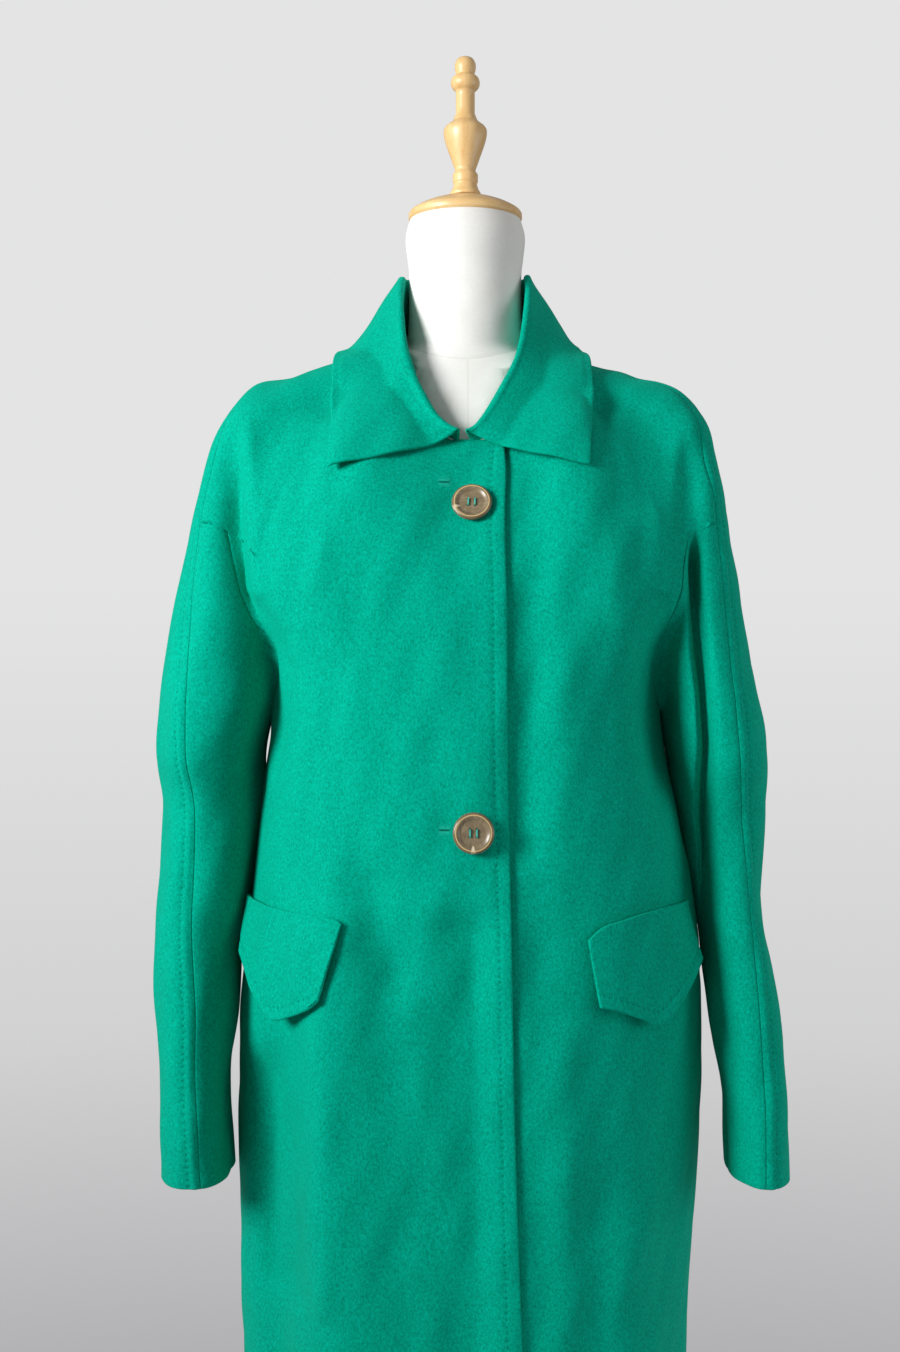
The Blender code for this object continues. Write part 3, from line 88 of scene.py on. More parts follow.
# Sections across each arm, from the neck over the shoulder to the cuff: where the outer and the inner edge
# lie, the middle, the depth in front of it and behind it, and the angle of the top seam, in degrees from
# the outer edge towards the front.
ARM_COLUMNS = "station out_x out_z in_x in_z middle front back seam"
ARM = {
    RIGHT: table(ARM_COLUMNS, """
        0 0.0620 1.4245 0.034 1.3435 0.006 0.046 0.046 12
        1 0.1140 1.4060 0.086 1.3256 0.005 0.055 0.055 14
        2 0.1620 1.3884 0.137 1.3060 0.003 0.060 0.062 17
        3 0.1905 1.3800 0.150 1.2960 0.000 0.064 0.068 21
        4 0.2093 1.3624 0.157 1.2800 -0.002 0.067 0.074 30
        5 0.2236 1.3375 0.160 1.2620 -0.003 0.070 0.079 40
        6 0.2342 1.3064 0.161 1.2450 -0.004 0.073 0.083 47
        7 0.2466 1.2604 0.160 1.2220 -0.005 0.078 0.088 50
        8 0.2570 1.2035 0.161 1.1850 -0.006 0.084 0.092 56
        9 0.2687 1.1300 0.168 1.1250 -0.010 0.090 0.092 68
        10 0.2728 1.0900 0.1805 1.0850 -0.013 0.092 0.091 74
        11 0.2758 1.0500 0.1880 1.0500 -0.009 0.091 0.089 80
        12 0.2720 1.0030 0.1875 1.0030 0.006 0.088 0.086 84
        13 0.2766 0.9100 0.1995 0.9100 -0.010 0.081 0.079 94
        14 0.2724 0.8300 0.2025 0.8300 -0.036 0.073 0.071 103
        15 0.2660 0.7650 0.209 0.7650 -0.052 0.068 0.066 108
        16 0.2655 0.6870 0.204 0.6870 -0.055 0.064 0.062 110
    """),
    LEFT: table(ARM_COLUMNS, """
        0 0.0620 1.4205 0.034 1.3400 0.006 0.046 0.046 14
        1 0.1088 1.4031 0.082 1.3235 0.005 0.055 0.055 18
        2 0.1488 1.3911 0.124 1.3090 0.003 0.060 0.062 23
        3 0.1874 1.3801 0.150 1.2970 0.000 0.064 0.068 36
        4 0.2058 1.3665 0.157 1.2810 -0.002 0.067 0.074 47
        5 0.2169 1.3480 0.159 1.2640 -0.003 0.070 0.079 55
        6 0.2243 1.3210 0.160 1.2470 -0.004 0.073 0.083 59
        7 0.2344 1.2760 0.160 1.2240 -0.005 0.078 0.088 59
        8 0.2417 1.2150 0.161 1.1870 -0.006 0.084 0.092 62
        9 0.2528 1.1450 0.167 1.1300 -0.010 0.090 0.092 69
        10 0.2605 1.1000 0.1790 1.0900 -0.013 0.092 0.091 76
        11 0.2681 1.0490 0.1890 1.0490 -0.009 0.091 0.089 83
        12 0.2694 1.0000 0.1930 1.0000 0.006 0.088 0.086 79
        13 0.2626 0.9250 0.2080 0.9250 -0.012 0.081 0.079 74
        14 0.2739 0.8400 0.2135 0.8400 -0.038 0.073 0.071 82
        15 0.2791 0.7650 0.2255 0.7650 -0.052 0.068 0.066 92
        16 0.2791 0.6870 0.229 0.6870 -0.055 0.064 0.062 94
    """),
}


def read(tab, column, at):
    """A table's column, read at any values of its first column along a smooth curve."""
    keys, values = next(iter(tab.values())), tab[column]
    at = np.clip(at, keys[0], keys[-1])
    slope = np.empty_like(values)
    slope[1:-1] = (values[2:] - values[:-2]) / (keys[2:] - keys[:-2])
    slope[0] = (values[1] - values[0]) / (keys[1] - keys[0])
    slope[-1] = (values[-1] - values[-2]) / (keys[-1] - keys[-2])
    i = np.clip(np.searchsorted(keys, at, side="right") - 1, 0, len(keys) - 2)
    span = keys[i + 1] - keys[i]
    t = (at - keys[i]) / span
    return (
        (1 + 2 * t) * (1 - t) ** 2 * values[i]
        + t * (1 - t) ** 2 * span * slope[i]
        + t * t * (3 - 2 * t) * values[i + 1]
        + t * t * (t - 1) * span * slope[i + 1]
    )


def ease(low, high, value):
    """0 below low, 1 above high, smooth between."""
    t = np.clip((value - low) / (high - low), 0.0, 1.0)
    return t * t * (3 - 2 * t)


def body_field(p):
    """About how far each point lies outside the coat's body."""
    x, y, z = p.T
    low = np.minimum(z, DOME_BASE)
    half = np.where(x < 0, read(BODY, "right", low), read(BODY, "left", low))
    depth = np.where(y < 0, read(BODY, "front", low), read(BODY, "back", low))
    square = read(BODY, "square", low)
    flat = (np.abs(x / half) ** square + np.abs(y / depth) ** square) ** (1 / square)
    rise = np.maximum(z - DOME_BASE, 0.0)
    ridge = 1.432 - DOME_BASE - 0.10 * np.abs(x)
    outward = ease(0.0, 0.11, np.abs(x))
    bulge = np.where(y < 0, 1.28 + 0.52 * outward, 2.8 - 1.0 * outward)
    gauge = (flat**bulge + (rise / ridge) ** bulge) ** (1 / bulge)
    reach = np.sqrt(x * x + y * y + rise * rise)
    return reach * (1 - 1 / np.maximum(gauge, 1e-6))


def arm_axis(side, stations):
    """Middle point, outward unit vector (both in X, Z) and half width of the arm's sections."""
    arm = ARM[side]
    out = np.stack([read(arm, "out_x", stations), read(arm, "out_z", stations)], -1)
    inner = np.stack([read(arm, "in_x", stations), read(arm, "in_z", stations)], -1)
    half = np.linalg.norm(out - inner, axis=-1) / 2
    return (out + inner) / 2, (out - inner) / (2 * half[..., None]), half


ARM_SAMPLES = np.linspace(0, CUFF, 97)
ARM_SQUARE = 2.2
ARM_AXES = {side: arm_axis(side, ARM_SAMPLES) for side in (RIGHT, LEFT)}


def nearest_station(side, x, z):
    """The station of the arm whose section passes through (x, z), and how far before the first it lies."""
    middle, outward, _ = ARM_AXES[side]
    point = np.stack([x, z], -1)
    beyond = point @ np.stack([outward[:, 1], -outward[:, 0]])
    beyond -= middle[:, 0] * outward[:, 1] - middle[:, 1] * outward[:, 0]
    away = (middle**2).sum(-1) - 2 * point @ middle.T
    here = (beyond[:, :-1] > 0) & (beyond[:, 1:] <= 0)
    first = np.where(here, away[:, :-1], np.inf).argmin(1)
    row = np.arange(len(point))
    low, high = beyond[row, first], beyond[row, first + 1]
    found = here[row, first]
    share = np.where(found, low / np.where(found, low - high, 1.0), 0.0)
    station = (first + share) * ARM_SAMPLES[1]
    station = np.where(found, station, np.where(beyond[:, 0] <= 0, 0.0, CUFF))
    past = np.where(beyond[:, 0] <= 0, -beyond[:, 0], -np.inf)
    return station, past


def arm_field(p, side):
    """About how far each point lies outside the arm on that side."""
    x, y, z = side * p[:, 0], p[:, 1], p[:, 2]
    station, past = nearest_station(side, x, z)
    middle, outward, half = arm_axis(side, station)
    across = ((np.stack([x, z], -1) - middle) * outward).sum(-1)
    off = y - read(ARM[side], "middle", station)
    depth = np.where(off < 0, read(ARM[side], "front", station), read(ARM[side], "back", station))
    gauge = (np.abs(across / half) ** ARM_SQUARE + np.abs(off / depth) ** ARM_SQUARE) ** (1 / ARM_SQUARE)
    field = np.hypot(across, off) * (1 - 1 / np.maximum(gauge, 1e-6))
    return np.maximum(field, past)


def joined(a, b, blend):
    """The smaller of two fields, rounded where they cross."""
    share = np.clip(0.5 + 0.5 * (b - a) / blend, 0, 1)
    return b + (a - b) * share - blend * share * (1 - share)


APART = 0.06  # how far the sleeve's form is taken from the body's below the slot

# The largest folds, as lines down the cloth: half width and depth (a ridge is negative), then x, z points.
FRONT_FOLDS = (
    (0.020, 0.010, (-0.088, 0.99), (-0.055, 0.86), (-0.048, 0.66), (-0.045, 0.35)),
    (0.032, -0.012, (-0.110, 0.95), (-0.112, 0.75), (-0.112, 0.50), (-0.115, 0.35)),
    (0.020, 0.013, (-0.168, 0.82), (-0.166, 0.70), (-0.160, 0.58), (-0.150, 0.46)),
    (0.026, -0.006, (0.080, 0.85), (0.078, 0.60), (0.076, 0.35)),
    (0.020, 0.006, (0.105, 0.72), (0.102, 0.50), (0.100, 0.35)),
    (0.024, -0.007, (0.135, 0.70), (0.130, 0.50), (0.128, 0.35)),
    (0.014, 0.008, (-0.2060, 1.350), (-0.2010, 1.290), (-0.1950, 1.243), (-0.1890, 1.200), (-0.1740, 1.165)),
    (0.013, 0.006, (-0.1720, 1.190), (-0.1640, 1.150), (-0.1600, 1.100), (-0.1660, 1.030)),
    (0.014, 0.005, (0.1960, 1.345), (0.1930, 1.290), (0.1880, 1.250)),
    (0.016, 0.007, (0.1640, 1.190), (0.1620, 1.140), (0.1680, 1.080), (0.1760, 1.000)),
)
BACK_FOLDS = (
    (0.026, 0.010, (-0.060, 1.02), (-0.066, 0.80), (-0.072, 0.35)),
    (0.030, -0.010, (-0.015, 1.00), (-0.012, 0.70), (-0.010, 0.35)),
    (0.026, 0.010, (0.048, 0.98), (0.055, 0.75), (0.060, 0.35)),
    (0.030, -0.009, (0.112, 0.95), (0.120, 0.70), (0.124, 0.35)),
    (0.030, -0.008, (-0.122, 0.92), (-0.128, 0.70), (-0.132, 0.35)),
    (0.018, 0.009, (-0.160, 1.24), (-0.150, 1.16), (-0.150, 1.07)),
    (0.018, 0.009, (0.160, 1.25), (0.150, 1.17), (0.150, 1.08)),
)
FOLD_FADE = 0.05  # a fold fades over this length at an end that lies on the cloth


def fold_depth(folds, x, z):
    """How far the folds press the cloth in at each x, z."""
    point = np.stack([x, z], -1)
    total = np.zeros(len(x))
    for width, depth, *line in folds:
        line = np.array(line)
        nearest = np.full(len(x), np.inf)
        along = np.zeros(len(x))
        run = 0.0
        for a, b in zip(line[:-1], line[1:]):
            length = math.dist(a, b)
            t = np.clip((point - a) @ (b - a) / length**2, 0, 1)
            away = np.linalg.norm(point - a - t[:, None] * (b - a), axis=-1)
            along = np.where(away < nearest, run + t * length, along)
            nearest = np.minimum(away, nearest)
            run += length
        top = ease(0, FOLD_FADE, along)
        foot = 1.0 if line[-1][1] <= COAT_HEM else ease(0, FOLD_FADE, run - along)
        total += depth * np.exp(-((nearest / width) ** 2)) * top * foot
    return total


def folds_at(p):
    """The folds' depth at points of the coat, front and back, fading out towards its sides."""
    x, y, z = p.T
    front = ease(0.02, 0.07, -y)
    back = ease(0.02, 0.07, y)
    total = np.zeros(len(p))
    for share, folds in ((front, FRONT_FOLDS), (back, BACK_FOLDS)):
        near = share > 0
        total[near] += share[near] * fold_depth(folds, x[near], z[near])
    return total


def coat_field(p, piece):
    """How far each point lies outside the coat, for a piece of its body or of a sleeve."""
    z = p[:, 2]
    blend = 0.010 + 0.022 * ease(1.33, 1.39, z)
    parted = APART * (1 - ease(SLOT_TOP - 0.03, SLOT_TOP - 0.002, z))
    body = body_field(p)
    side = np.where(p[:, 0] < 0, RIGHT, LEFT)
    arm = np.empty(len(p))
    for s in (RIGHT, LEFT):
        arm[side == s] = arm_field(p[side == s], s)
    if piece == "body":
        return joined(body, arm + parted, blend) + folds_at(p)
    return joined(arm, body + parted, blend) + folds_at(p)


def slope_of(field, p, step=0.0004):
    """The field at p and its gradient."""
    value = field(p)
    gradient = np.empty_like(p)
    for axis in range(3):
        moved = p.copy()
        moved[:, axis] += step
        gradient[:, axis] = (field(moved) - value) / step
    return value, gradient


def settle(p, piece, level=0.0, steps=9):
    """Moves points to the given height above the coat's outer form."""
    shape = p.shape
    p = p.reshape(-1, 3).copy()
    level = np.broadcast_to(level, shape[:-1]).reshape(-1)
    for _ in range(steps):
        value, gradient = slope_of(lambda q: coat_field(q, piece), p)
        move = (value - level) / np.maximum((gradient**2).sum(-1), 0.05)
        p -= np.clip(move, -0.03, 0.03)[:, None] * gradient
    return p.reshape(shape)


def normals_at(p, piece):
    """Outward unit normals of the coat at points on it."""
    gradient = slope_of(lambda q: coat_field(q, piece), p.reshape(-1, 3))[1]
    return (gradient / np.linalg.norm(gradient, axis=1, keepdims=True)).reshape(p.shape)


def between(a, b, c, d, t):
    """The point at t from b to c on the smooth curve through four points."""
    return b + t * (c - a) / 2 + t**2 * (a - 2.5 * b + 2 * c - d / 2) + t**3 * (d - a + 3 * (b - c)) / 2


def spaced(points, count):
    """A smooth curve through the points, as count points evenly spaced along it."""
    points = np.array(points, float)
    ends = np.concatenate([[2 * points[0] - points[1]], points, [2 * points[-1] - points[-2]]])
    fine = []
    for i in range(len(points) - 1):
        a, b, c, d = ends[i : i + 4]
        t = np.linspace(0, 1, 24, endpoint=i == len(points) - 2)[:, None]
        fine.append(between(a, b, c, d, t))
    fine = np.concatenate(fine)
    run = np.concatenate([[0], np.cumsum(np.linalg.norm(np.diff(fine, axis=0), axis=1))])
    at = np.linspace(0, run[-1], count)
    return np.stack([np.interp(at, run, fine[:, axis]) for axis in range(3)], -1)


def seam(points, piece, count):
    """A line drawn on the coat through points near it."""
    line = settle(spaced(points, 4 * count), piece)
    return settle(spaced(line, count), piece)


def arm_points(side, station, degrees):
    """Points of the arm at stations, at angles from its outer edge towards the front."""
    middle, outward, half = arm_axis(side, station)
    turn = np.radians(degrees)
    front, back = read(ARM[side], "front", station), read(ARM[side], "back", station)
    depth = np.where(np.sin(turn) > 0, front, back)
    x, z = np.moveaxis(middle + (half * np.cos(turn))[..., None] * outward, -1, 0)
    y = read(ARM[side], "middle", station) - depth * np.sin(turn)
    return np.stack([side * x, y, z], -1)


def arm_places(side, p, behind):
    """Stations and angles of points on the arm, the angles running through the back if behind is set."""
    x, y, z = side * p[:, 0], p[:, 1], p[:, 2]
    station = nearest_station(side, x, z)[0]
    middle, outward, half = arm_axis(side, station)
    across = ((np.stack([x, z], -1) - middle) * outward).sum(-1) / half
    off = read(ARM[side], "middle", station) - y
    depth = np.where(off > 0, read(ARM[side], "front", station), read(ARM[side], "back", station))
    degrees = np.degrees(np.arctan2(off / depth, across))
    if behind:
        return station, np.where(degrees > 150, degrees - 360, degrees)
    return station, np.where(degrees < -30, degrees + 360, degrees)


def top_seam_line(side, first, last, count):
    """The seam over the shoulder and down the sleeve, between two stations."""
    stations = np.linspace(first, last, 3 * count)
    return seam(arm_points(side, stations, read(ARM[side], "seam", stations)), "sleeve", count)


# Rows of each panel, shared by the panels on both sides of a seam.
SIDE_ROWS, ARMHOLE_ROWS, SHOULDER_ROWS, SLEEVE_ROWS = 18, 9, 11, 17
FRONT_COLUMNS, BACK_COLUMNS, NECK_COLUMNS = 14, 20, 5
JUNCTION = {RIGHT: 7.0, LEFT: 7.2}  # where the front armhole seam meets the top seam
UNDERARM = {RIGHT: (-0.1770, -0.005, 1.097), LEFT: (0.1770, -0.005, 1.094)}
SIDE_SEAM_Y = 0.004
ARMHOLE = {
    RIGHT: (
        (-0.2309, -0.060, 1.2600),
        (-0.2160, -0.070, 1.2556),
        (-0.2080, -0.075, 1.2470),
        (-0.2040, -0.078, 1.2320),
        (-0.1980, -0.082, 1.2020),
        (-0.1838, -0.086, 1.1689),
        (-0.1720, -0.082, 1.1400),
        (-0.1690, -0.060, 1.1150),
        (-0.1740, -0.030, 1.0970),
    ),
    LEFT: (
        (0.2092, -0.065, 1.2618),
        (0.2022, -0.072, 1.2539),
        (0.1944, -0.076, 1.2425),
        (0.1895, -0.080, 1.2300),
        (0.1850, -0.083, 1.2000),
        (0.1780, -0.086, 1.1689),
        (0.1700, -0.082, 1.1400),
        (0.1690, -0.060, 1.1120),
        (0.1740, -0.030, 1.0930),
    ),
}
# The neckline from the top of the fronts round to the middle of the back, for the wearer's left side.
NECK_FRONT = (
    (0.0060, -0.0950, 1.3215),
    (0.0220, -0.0900, 1.3310),
    (0.0400, -0.0780, 1.3530),
    (0.0530, -0.0600, 1.3800),
    (0.0610, -0.0400, 1.4050),
)
TOP_EDGE_END = (-0.0060, -0.0880, 1.3208)  # of the right front's straight top edge
NECK_SIDE = (0.0650, -0.0120, 1.4250)
NECK_BACK = (
    (0.0620, 0.0150, 1.4290),
    (0.0500, 0.0420, 1.4290),
)
RAGLAN_TOP = (0.0330, 0.0600, 1.4200)
NECK_MIDDLE_BACK = (0.0, 0.0660, 1.4270)
RAGLAN = (
    (0.0620, 0.0830, 1.4020),
    (0.1000, 0.1050, 1.3450),
    (0.1330, 0.1080, 1.2800),
    (0.1560, 0.0980, 1.2200),
    (0.1700, 0.0750, 1.1600),
    (0.1730, 0.0350, 1.1080),
)


def mirrored(points, side):
    """The points of the wearer's left side, or their mirror on the right."""
    return [(side * x, y, z) for x, y, z in points]


def coons(bottom, top, left, right):
    """A grid of points between four edges that share their corners, from the bottom row up."""
    u = np.linspace(0, 1, len(bottom))[None, :, None]
    v = np.linspace(0, 1, len(left))[:, None, None]
    across = (1 - u) * left[:, None] + u * right[:, None]
    upward = (1 - v) * bottom[None] + v * top[None]
    corners = (
        (1 - u) * (1 - v) * bottom[0]
        + u * (1 - v) * bottom[-1]
        + (1 - u) * v * top[0]
        + u * v * top[-1]
    )
    return across + upward - corners


def panel(bottom, top, left, right, piece, start=None, rounds=24):
    """A patch of the coat's outer form between four seam lines, and near the start if one is given."""
    grid = coons(bottom, top, left, right)
    if start is not None:
        grid[1:-1, 1:-1] = start[1:-1, 1:-1]
    grid[1:-1, 1:-1] = settle(grid[1:-1, 1:-1], piece)
    for _ in range(rounds):
        near = (grid[:-2, 1:-1] + grid[2:, 1:-1] + grid[1:-1, :-2] + grid[1:-1, 2:]) / 4
        grid[1:-1, 1:-1] = settle(0.4 * grid[1:-1, 1:-1] + 0.6 * near, piece, steps=1)
    grid[1:-1, 1:-1] = settle(grid[1:-1, 1:-1], piece)
    return grid


def seams_of(side):
    """The seam lines of one side of the coat, each from its upper or front end."""
    armpit = settle(np.array([UNDERARM[side]]), "body")[0]
    hem_side = settle(np.array([(side * 0.195, SIDE_SEAM_Y, COAT_HEM)]), "body")[0]
    junction = JUNCTION[side]
    neck_side = settle(np.array(mirrored([NECK_SIDE], side)), "body")[0]
    raglan_top = settle(np.array(mirrored([RAGLAN_TOP], side)), "body")[0]
    shoulder = top_seam_line(side, 0.6, junction, SHOULDER_ROWS)
    shoulder = seam([neck_side, *shoulder[1:]], "body", SHOULDER_ROWS)
    sleeve_top = top_seam_line(side, junction, CUFF, SLEEVE_ROWS)
    sleeve_top[0] = shoulder[-1]
    armhole = seam([shoulder[-1], *ARMHOLE[side][1:], armpit], "body", ARMHOLE_ROWS)
    raglan = seam([raglan_top, *mirrored(RAGLAN, side), armpit], "body", SHOULDER_ROWS)
    under = arm_points(side, np.linspace(10.6, CUFF, 20), np.full(20, 180.0))
    under = seam([armpit, *under], "sleeve", SLEEVE_ROWS)
    heights = np.linspace(armpit[2], COAT_HEM, SIDE_ROWS)
    low = read(BODY, SIDE_NAME[side], heights)
    flank = np.stack([side * low, np.full(SIDE_ROWS, SIDE_SEAM_Y), heights], -1)
    flank[0] = armpit
    flank[1:] = settle(flank[1:], "body")
    flank[-1] = hem_side
    for line in (sleeve_top, under):
        line[-1, 2] = read(ARM[side], "out_z", CUFF)
    return {
        "shoulder": shoulder,
        "sleeve_top": sleeve_top,
        "armhole": armhole,
        "raglan": raglan,
        "under": under,
        "flank": flank,
    }


SEAMS = {side: seams_of(side) for side in (RIGHT, LEFT)}
RIGHT_EDGE = (  # the overlapping front's edge, x and z
    (0.0297, 1.3203),
    (0.0325, 1.3020),
    (0.0330, 1.2400),
    (0.0340, 1.0900),
    (0.0350, 0.9500),
    (0.0370, 0.8300),
    (0.0400, 0.7100),
    (0.0440, 0.6000),
    (0.0490, 0.4800),
    (0.0550, 0.3500),
)
LEFT_EDGE = tuple((x - 0.067, z) for x, z in RIGHT_EDGE)  # the one below it
LAP_RISE = (0.014, 0.048)  # beside the upper front's edge, where the lower one rises to the form


def level_point(point):
    """The point of the coat in front of or behind the given one, at its height."""
    point = np.array([point], float)
    height = point[0, 2]
    for _ in range(12):
        point = settle(point, "body", steps=2)
        point[0, 2] = height
    return tuple(point[0])


def front_edge(side):
    """The free edge of a front, from the hem up to the neckline."""
    line = RIGHT_EDGE if side == RIGHT else LEFT_EDGE
    points = [(x, -0.16 + 0.25 * max(z - 1.10, 0), z) for x, z in reversed(line)]
    rows = SIDE_ROWS + ARMHOLE_ROWS + SHOULDER_ROWS - 2
    if side == RIGHT:
        points[-1] = level_point(points[-1])
    edge = seam(points, "body", rows)
    edge[0, 2] = COAT_HEM
    return edge


def front_grid(side):
    """A front panel: rows from the hem up, columns from its free edge to its side."""
    lines = SEAMS[side]
    outer_edge = [lines["flank"][::-1], lines["armhole"][::-1][1:], lines["shoulder"][::-1][1:]]
    outer_edge = np.concatenate(outer_edge)
    free_edge = front_edge(side)
    hem = seam(hem_line(free_edge[0], lines["flank"][-1], -1), "body", FRONT_COLUMNS)
    hem[:, 2] = COAT_HEM
    hem[0], hem[-1] = free_edge[0], outer_edge[0]
    neck = mirrored(NECK_FRONT, side)
    if side == RIGHT:
        neck[0] = level_point(TOP_EDGE_END)
    neck = seam([free_edge[-1], *neck, lines["shoulder"][0]], "body", FRONT_COLUMNS)
    neck[0], neck[-1] = free_edge[-1], outer_edge[-1]
    return panel(hem, neck, free_edge, outer_edge, "body")


def hem_line(start, end, front):
    """Points round the hem between two of its points, through the front (-1) or the back (1)."""
    low = {name: float(BODY[name][0]) for name in ("right", "left", "front", "back", "square")}
    depth = low["front"] if front < 0 else low["back"]
    points = [start]
    for x in np.linspace(start[0], end[0], 14)[1:-1]:
        half = low["right"] if x < 0 else low["left"]
        y = depth * max(1 - abs(x / half) ** low["square"], 0) ** (1 / low["square"])
        points.append((x, front * y, COAT_HEM))
    return [*points, end]


def lap_depth(grid):
    """How far the underlapping front is set in, below the other front and beside its edge."""
    edge_x, edge_z = np.array(RIGHT_EDGE[::-1]).T
    past = grid[..., 0] - np.interp(grid[..., 2], edge_z, edge_x)
    return (CLOTH + LAP_GAP) * (1 - ease(*LAP_RISE, past)) * (grid[..., 1] < 0)


def back_grid():
    """The back: rows from the hem up, columns from the wearer's right to left."""
    right, left = (
        np.concatenate([SEAMS[side]["flank"][::-1], SEAMS[side]["raglan"][::-1][1:]])
        for side in (RIGHT, LEFT)
    )
    hem = seam(hem_line(right[0], left[0], 1), "body", BACK_COLUMNS)
    hem[:, 2] = COAT_HEM
    neck = seam([right[-1], NECK_MIDDLE_BACK, left[-1]], "body", BACK_COLUMNS)
    hem[0], hem[-1], neck[0], neck[-1] = right[0], left[0], right[-1], left[-1]
    return panel(hem, neck, right, left, "body")


SLEEVE_FRONT_COLUMNS, SLEEVE_BACK_COLUMNS = ARMHOLE_ROWS, 10


def cuff_line(side, start, end, count):
    """Points round the cuff between two angles of the last station."""
    line = seam(arm_points(side, np.full(24, CUFF), np.linspace(start, end, 24)), "sleeve", count)
    line[:, 2] = float(ARM[side]["out_z"][-1])
    return line


def sleeve_panel(side, bottom, top, left, right, behind):
    """A patch of the sleeve between four seam lines, round its front or its back."""
    edges = (bottom, top, left, right)
    angles = [np.stack([*arm_places(side, line, behind), np.zeros(len(line))], -1) for line in edges]
    station, degrees, _ = np.moveaxis(coons(*angles), -1, 0)
    return panel(bottom, top, left, right, "sleeve", arm_points(side, station, degrees))


def sleeve_grids(side):
    """The two sleeve pieces: rows from the cuff up, columns from the top seam to the one below the arm."""
    lines = SEAMS[side]
    top_angle = float(ARM[side]["seam"][-1])
    front_cuff = cuff_line(side, top_angle, 180, SLEEVE_FRONT_COLUMNS)
    front_cuff[0], front_cuff[-1] = lines["sleeve_top"][-1], lines["under"][-1]
    edges = lines["sleeve_top"][::-1], lines["under"][::-1]
    front = sleeve_panel(side, front_cuff, lines["armhole"], *edges, behind=False)
    back_cuff = cuff_line(side, top_angle, -180, SLEEVE_BACK_COLUMNS)
    back_cuff[0], back_cuff[-1] = lines["sleeve_top"][-1], lines["under"][-1]
    neck = [lines["shoulder"][0], *mirrored(NECK_BACK, side), lines["raglan"][0]]
    neck = seam(neck, "body", SLEEVE_BACK_COLUMNS)
    neck[0], neck[-1] = lines["shoulder"][0], lines["raglan"][0]
    long_edge = np.concatenate([lines["sleeve_top"][::-1], lines["shoulder"][::-1][1:]])
    under_edge = np.concatenate([lines["under"][::-1], lines["raglan"][::-1][1:]])
    back = sleeve_panel(side, back_cuff, neck, long_edge, under_edge, behind=True)
    return front, back


# ---------------------------------------------------------------- finer cloth, its folds and its edges

STEP = 0.004  # spacing of the points of the cloth
SEAM_ROUND = 0.0004  # how far a sewn edge is rounded over
EDGE_ROUND = 0.0013  # how far a free edge is rounded over
RIM_STEPS = 4  # faces round an edge


def spline(points, at, breaks=()):
    """Rows of points read at fractional row numbers, on smooth curves that may turn at the breaks."""
    stops = [0, *breaks, len(points) - 1]
    result = np.empty((len(at), *points.shape[1:]))
    for a, b in zip(stops[:-1], stops[1:]):
        own = (at >= a) & (at <= b)
        part = points[a : b + 1]
        part = np.concatenate([[2 * part[0] - part[1]], part, [2 * part[-1] - part[-2]]])
        i = np.clip(at[own].astype(int) - a, 0, b - a - 1)
        t = (at[own] - a - i).reshape(-1, *[1] * (points.ndim - 1))
        p, q, r, s = part[i], part[i + 1], part[i + 2], part[i + 3]
        result[own] = between(p, q, r, s, t)
    return result


def along(line):
    """The running length at each point of a line."""
    return np.concatenate([[0], np.cumsum(np.linalg.norm(np.diff(line, axis=0), axis=1))])


def places(line, breaks=(), near=(), step=STEP):
    """Fractional point numbers about a step apart on a line, with more at lengths near its start."""
    stops = [0, *breaks, len(line) - 1]
    at = [np.zeros(1)]
    for a, b in zip(stops[:-1], stops[1:]):
        run = along(line[a : b + 1])
        first = near if a == 0 else ()
        rest = run[-1] - (first[-1] if len(first) else 0)
        even = run[-1] - rest + np.linspace(0, rest, max(2, round(rest / step)) + 1)[1:]
        at.append(a + np.interp([*first, *even], run, np.arange(b - a + 1)))
    return np.concatenate(at)


def finer(grid, piece, breaks=(), seams=("left", "right"), near=(), step=STEP):
    """The same patch with many more points, its edges on their own seams' curves."""
    rows_at = places(grid[:, -1], breaks)
    columns_at = places(grid[len(grid) // 2], near=near, step=step)
    fine = spline(grid, rows_at)
    fine = spline(fine.transpose(1, 0, 2), columns_at).transpose(1, 0, 2)
    share = (columns_at / columns_at[-1])[None, :, None]
    if "left" in seams:
        fine += (1 - share) * (spline(grid[:, 0], rows_at, breaks) - fine[:, 0])[:, None]
    if "right" in seams:
        fine += share * (spline(grid[:, -1], rows_at, breaks) - fine[:, -1])[:, None]
    foot = fine[0, :, 2].copy()
    fine = settle(fine, piece, steps=3)
    fine[0, :, 2] = foot
    return fine


def across(grid, from_end=False):
    """How far each point is along its row, from the left edge or from the right one."""
    rows = grid[:, ::-1] if from_end else grid
    steps = np.linalg.norm(np.diff(rows, axis=1), axis=2)
    run = np.concatenate([np.zeros((len(grid), 1)), np.cumsum(steps, axis=1)], 1)
    return run[:, ::-1] if from_end else run


def upward(grid, from_end=False):
    """How far each point is along its column, from the lowest row or from the top one."""
    return across(grid.transpose(1, 0, 2), from_end).T


def dent(distance, width):
    """1 on a line, falling off smoothly over the width on both sides of it."""
    return np.exp(-((distance / width) ** 2))


WAVES = (  # soft unevenness of the whole cloth: height, wavelengths along x, y and z, and phase
    (0.0006, 0.083, 0.110, 0.410, 0.4),
    (0.0005, -0.061, 0.090, 0.270, 2.1),
    (0.0004, 0.047, -0.075, 0.190, 4.0),
    (0.0005, 0.150, 0.160, -0.130, 1.2),
    (0.0003, -0.035, 0.060, 0.110, 5.3),
    (0.0003, 0.052, 0.045, -0.072, 3.1),
)


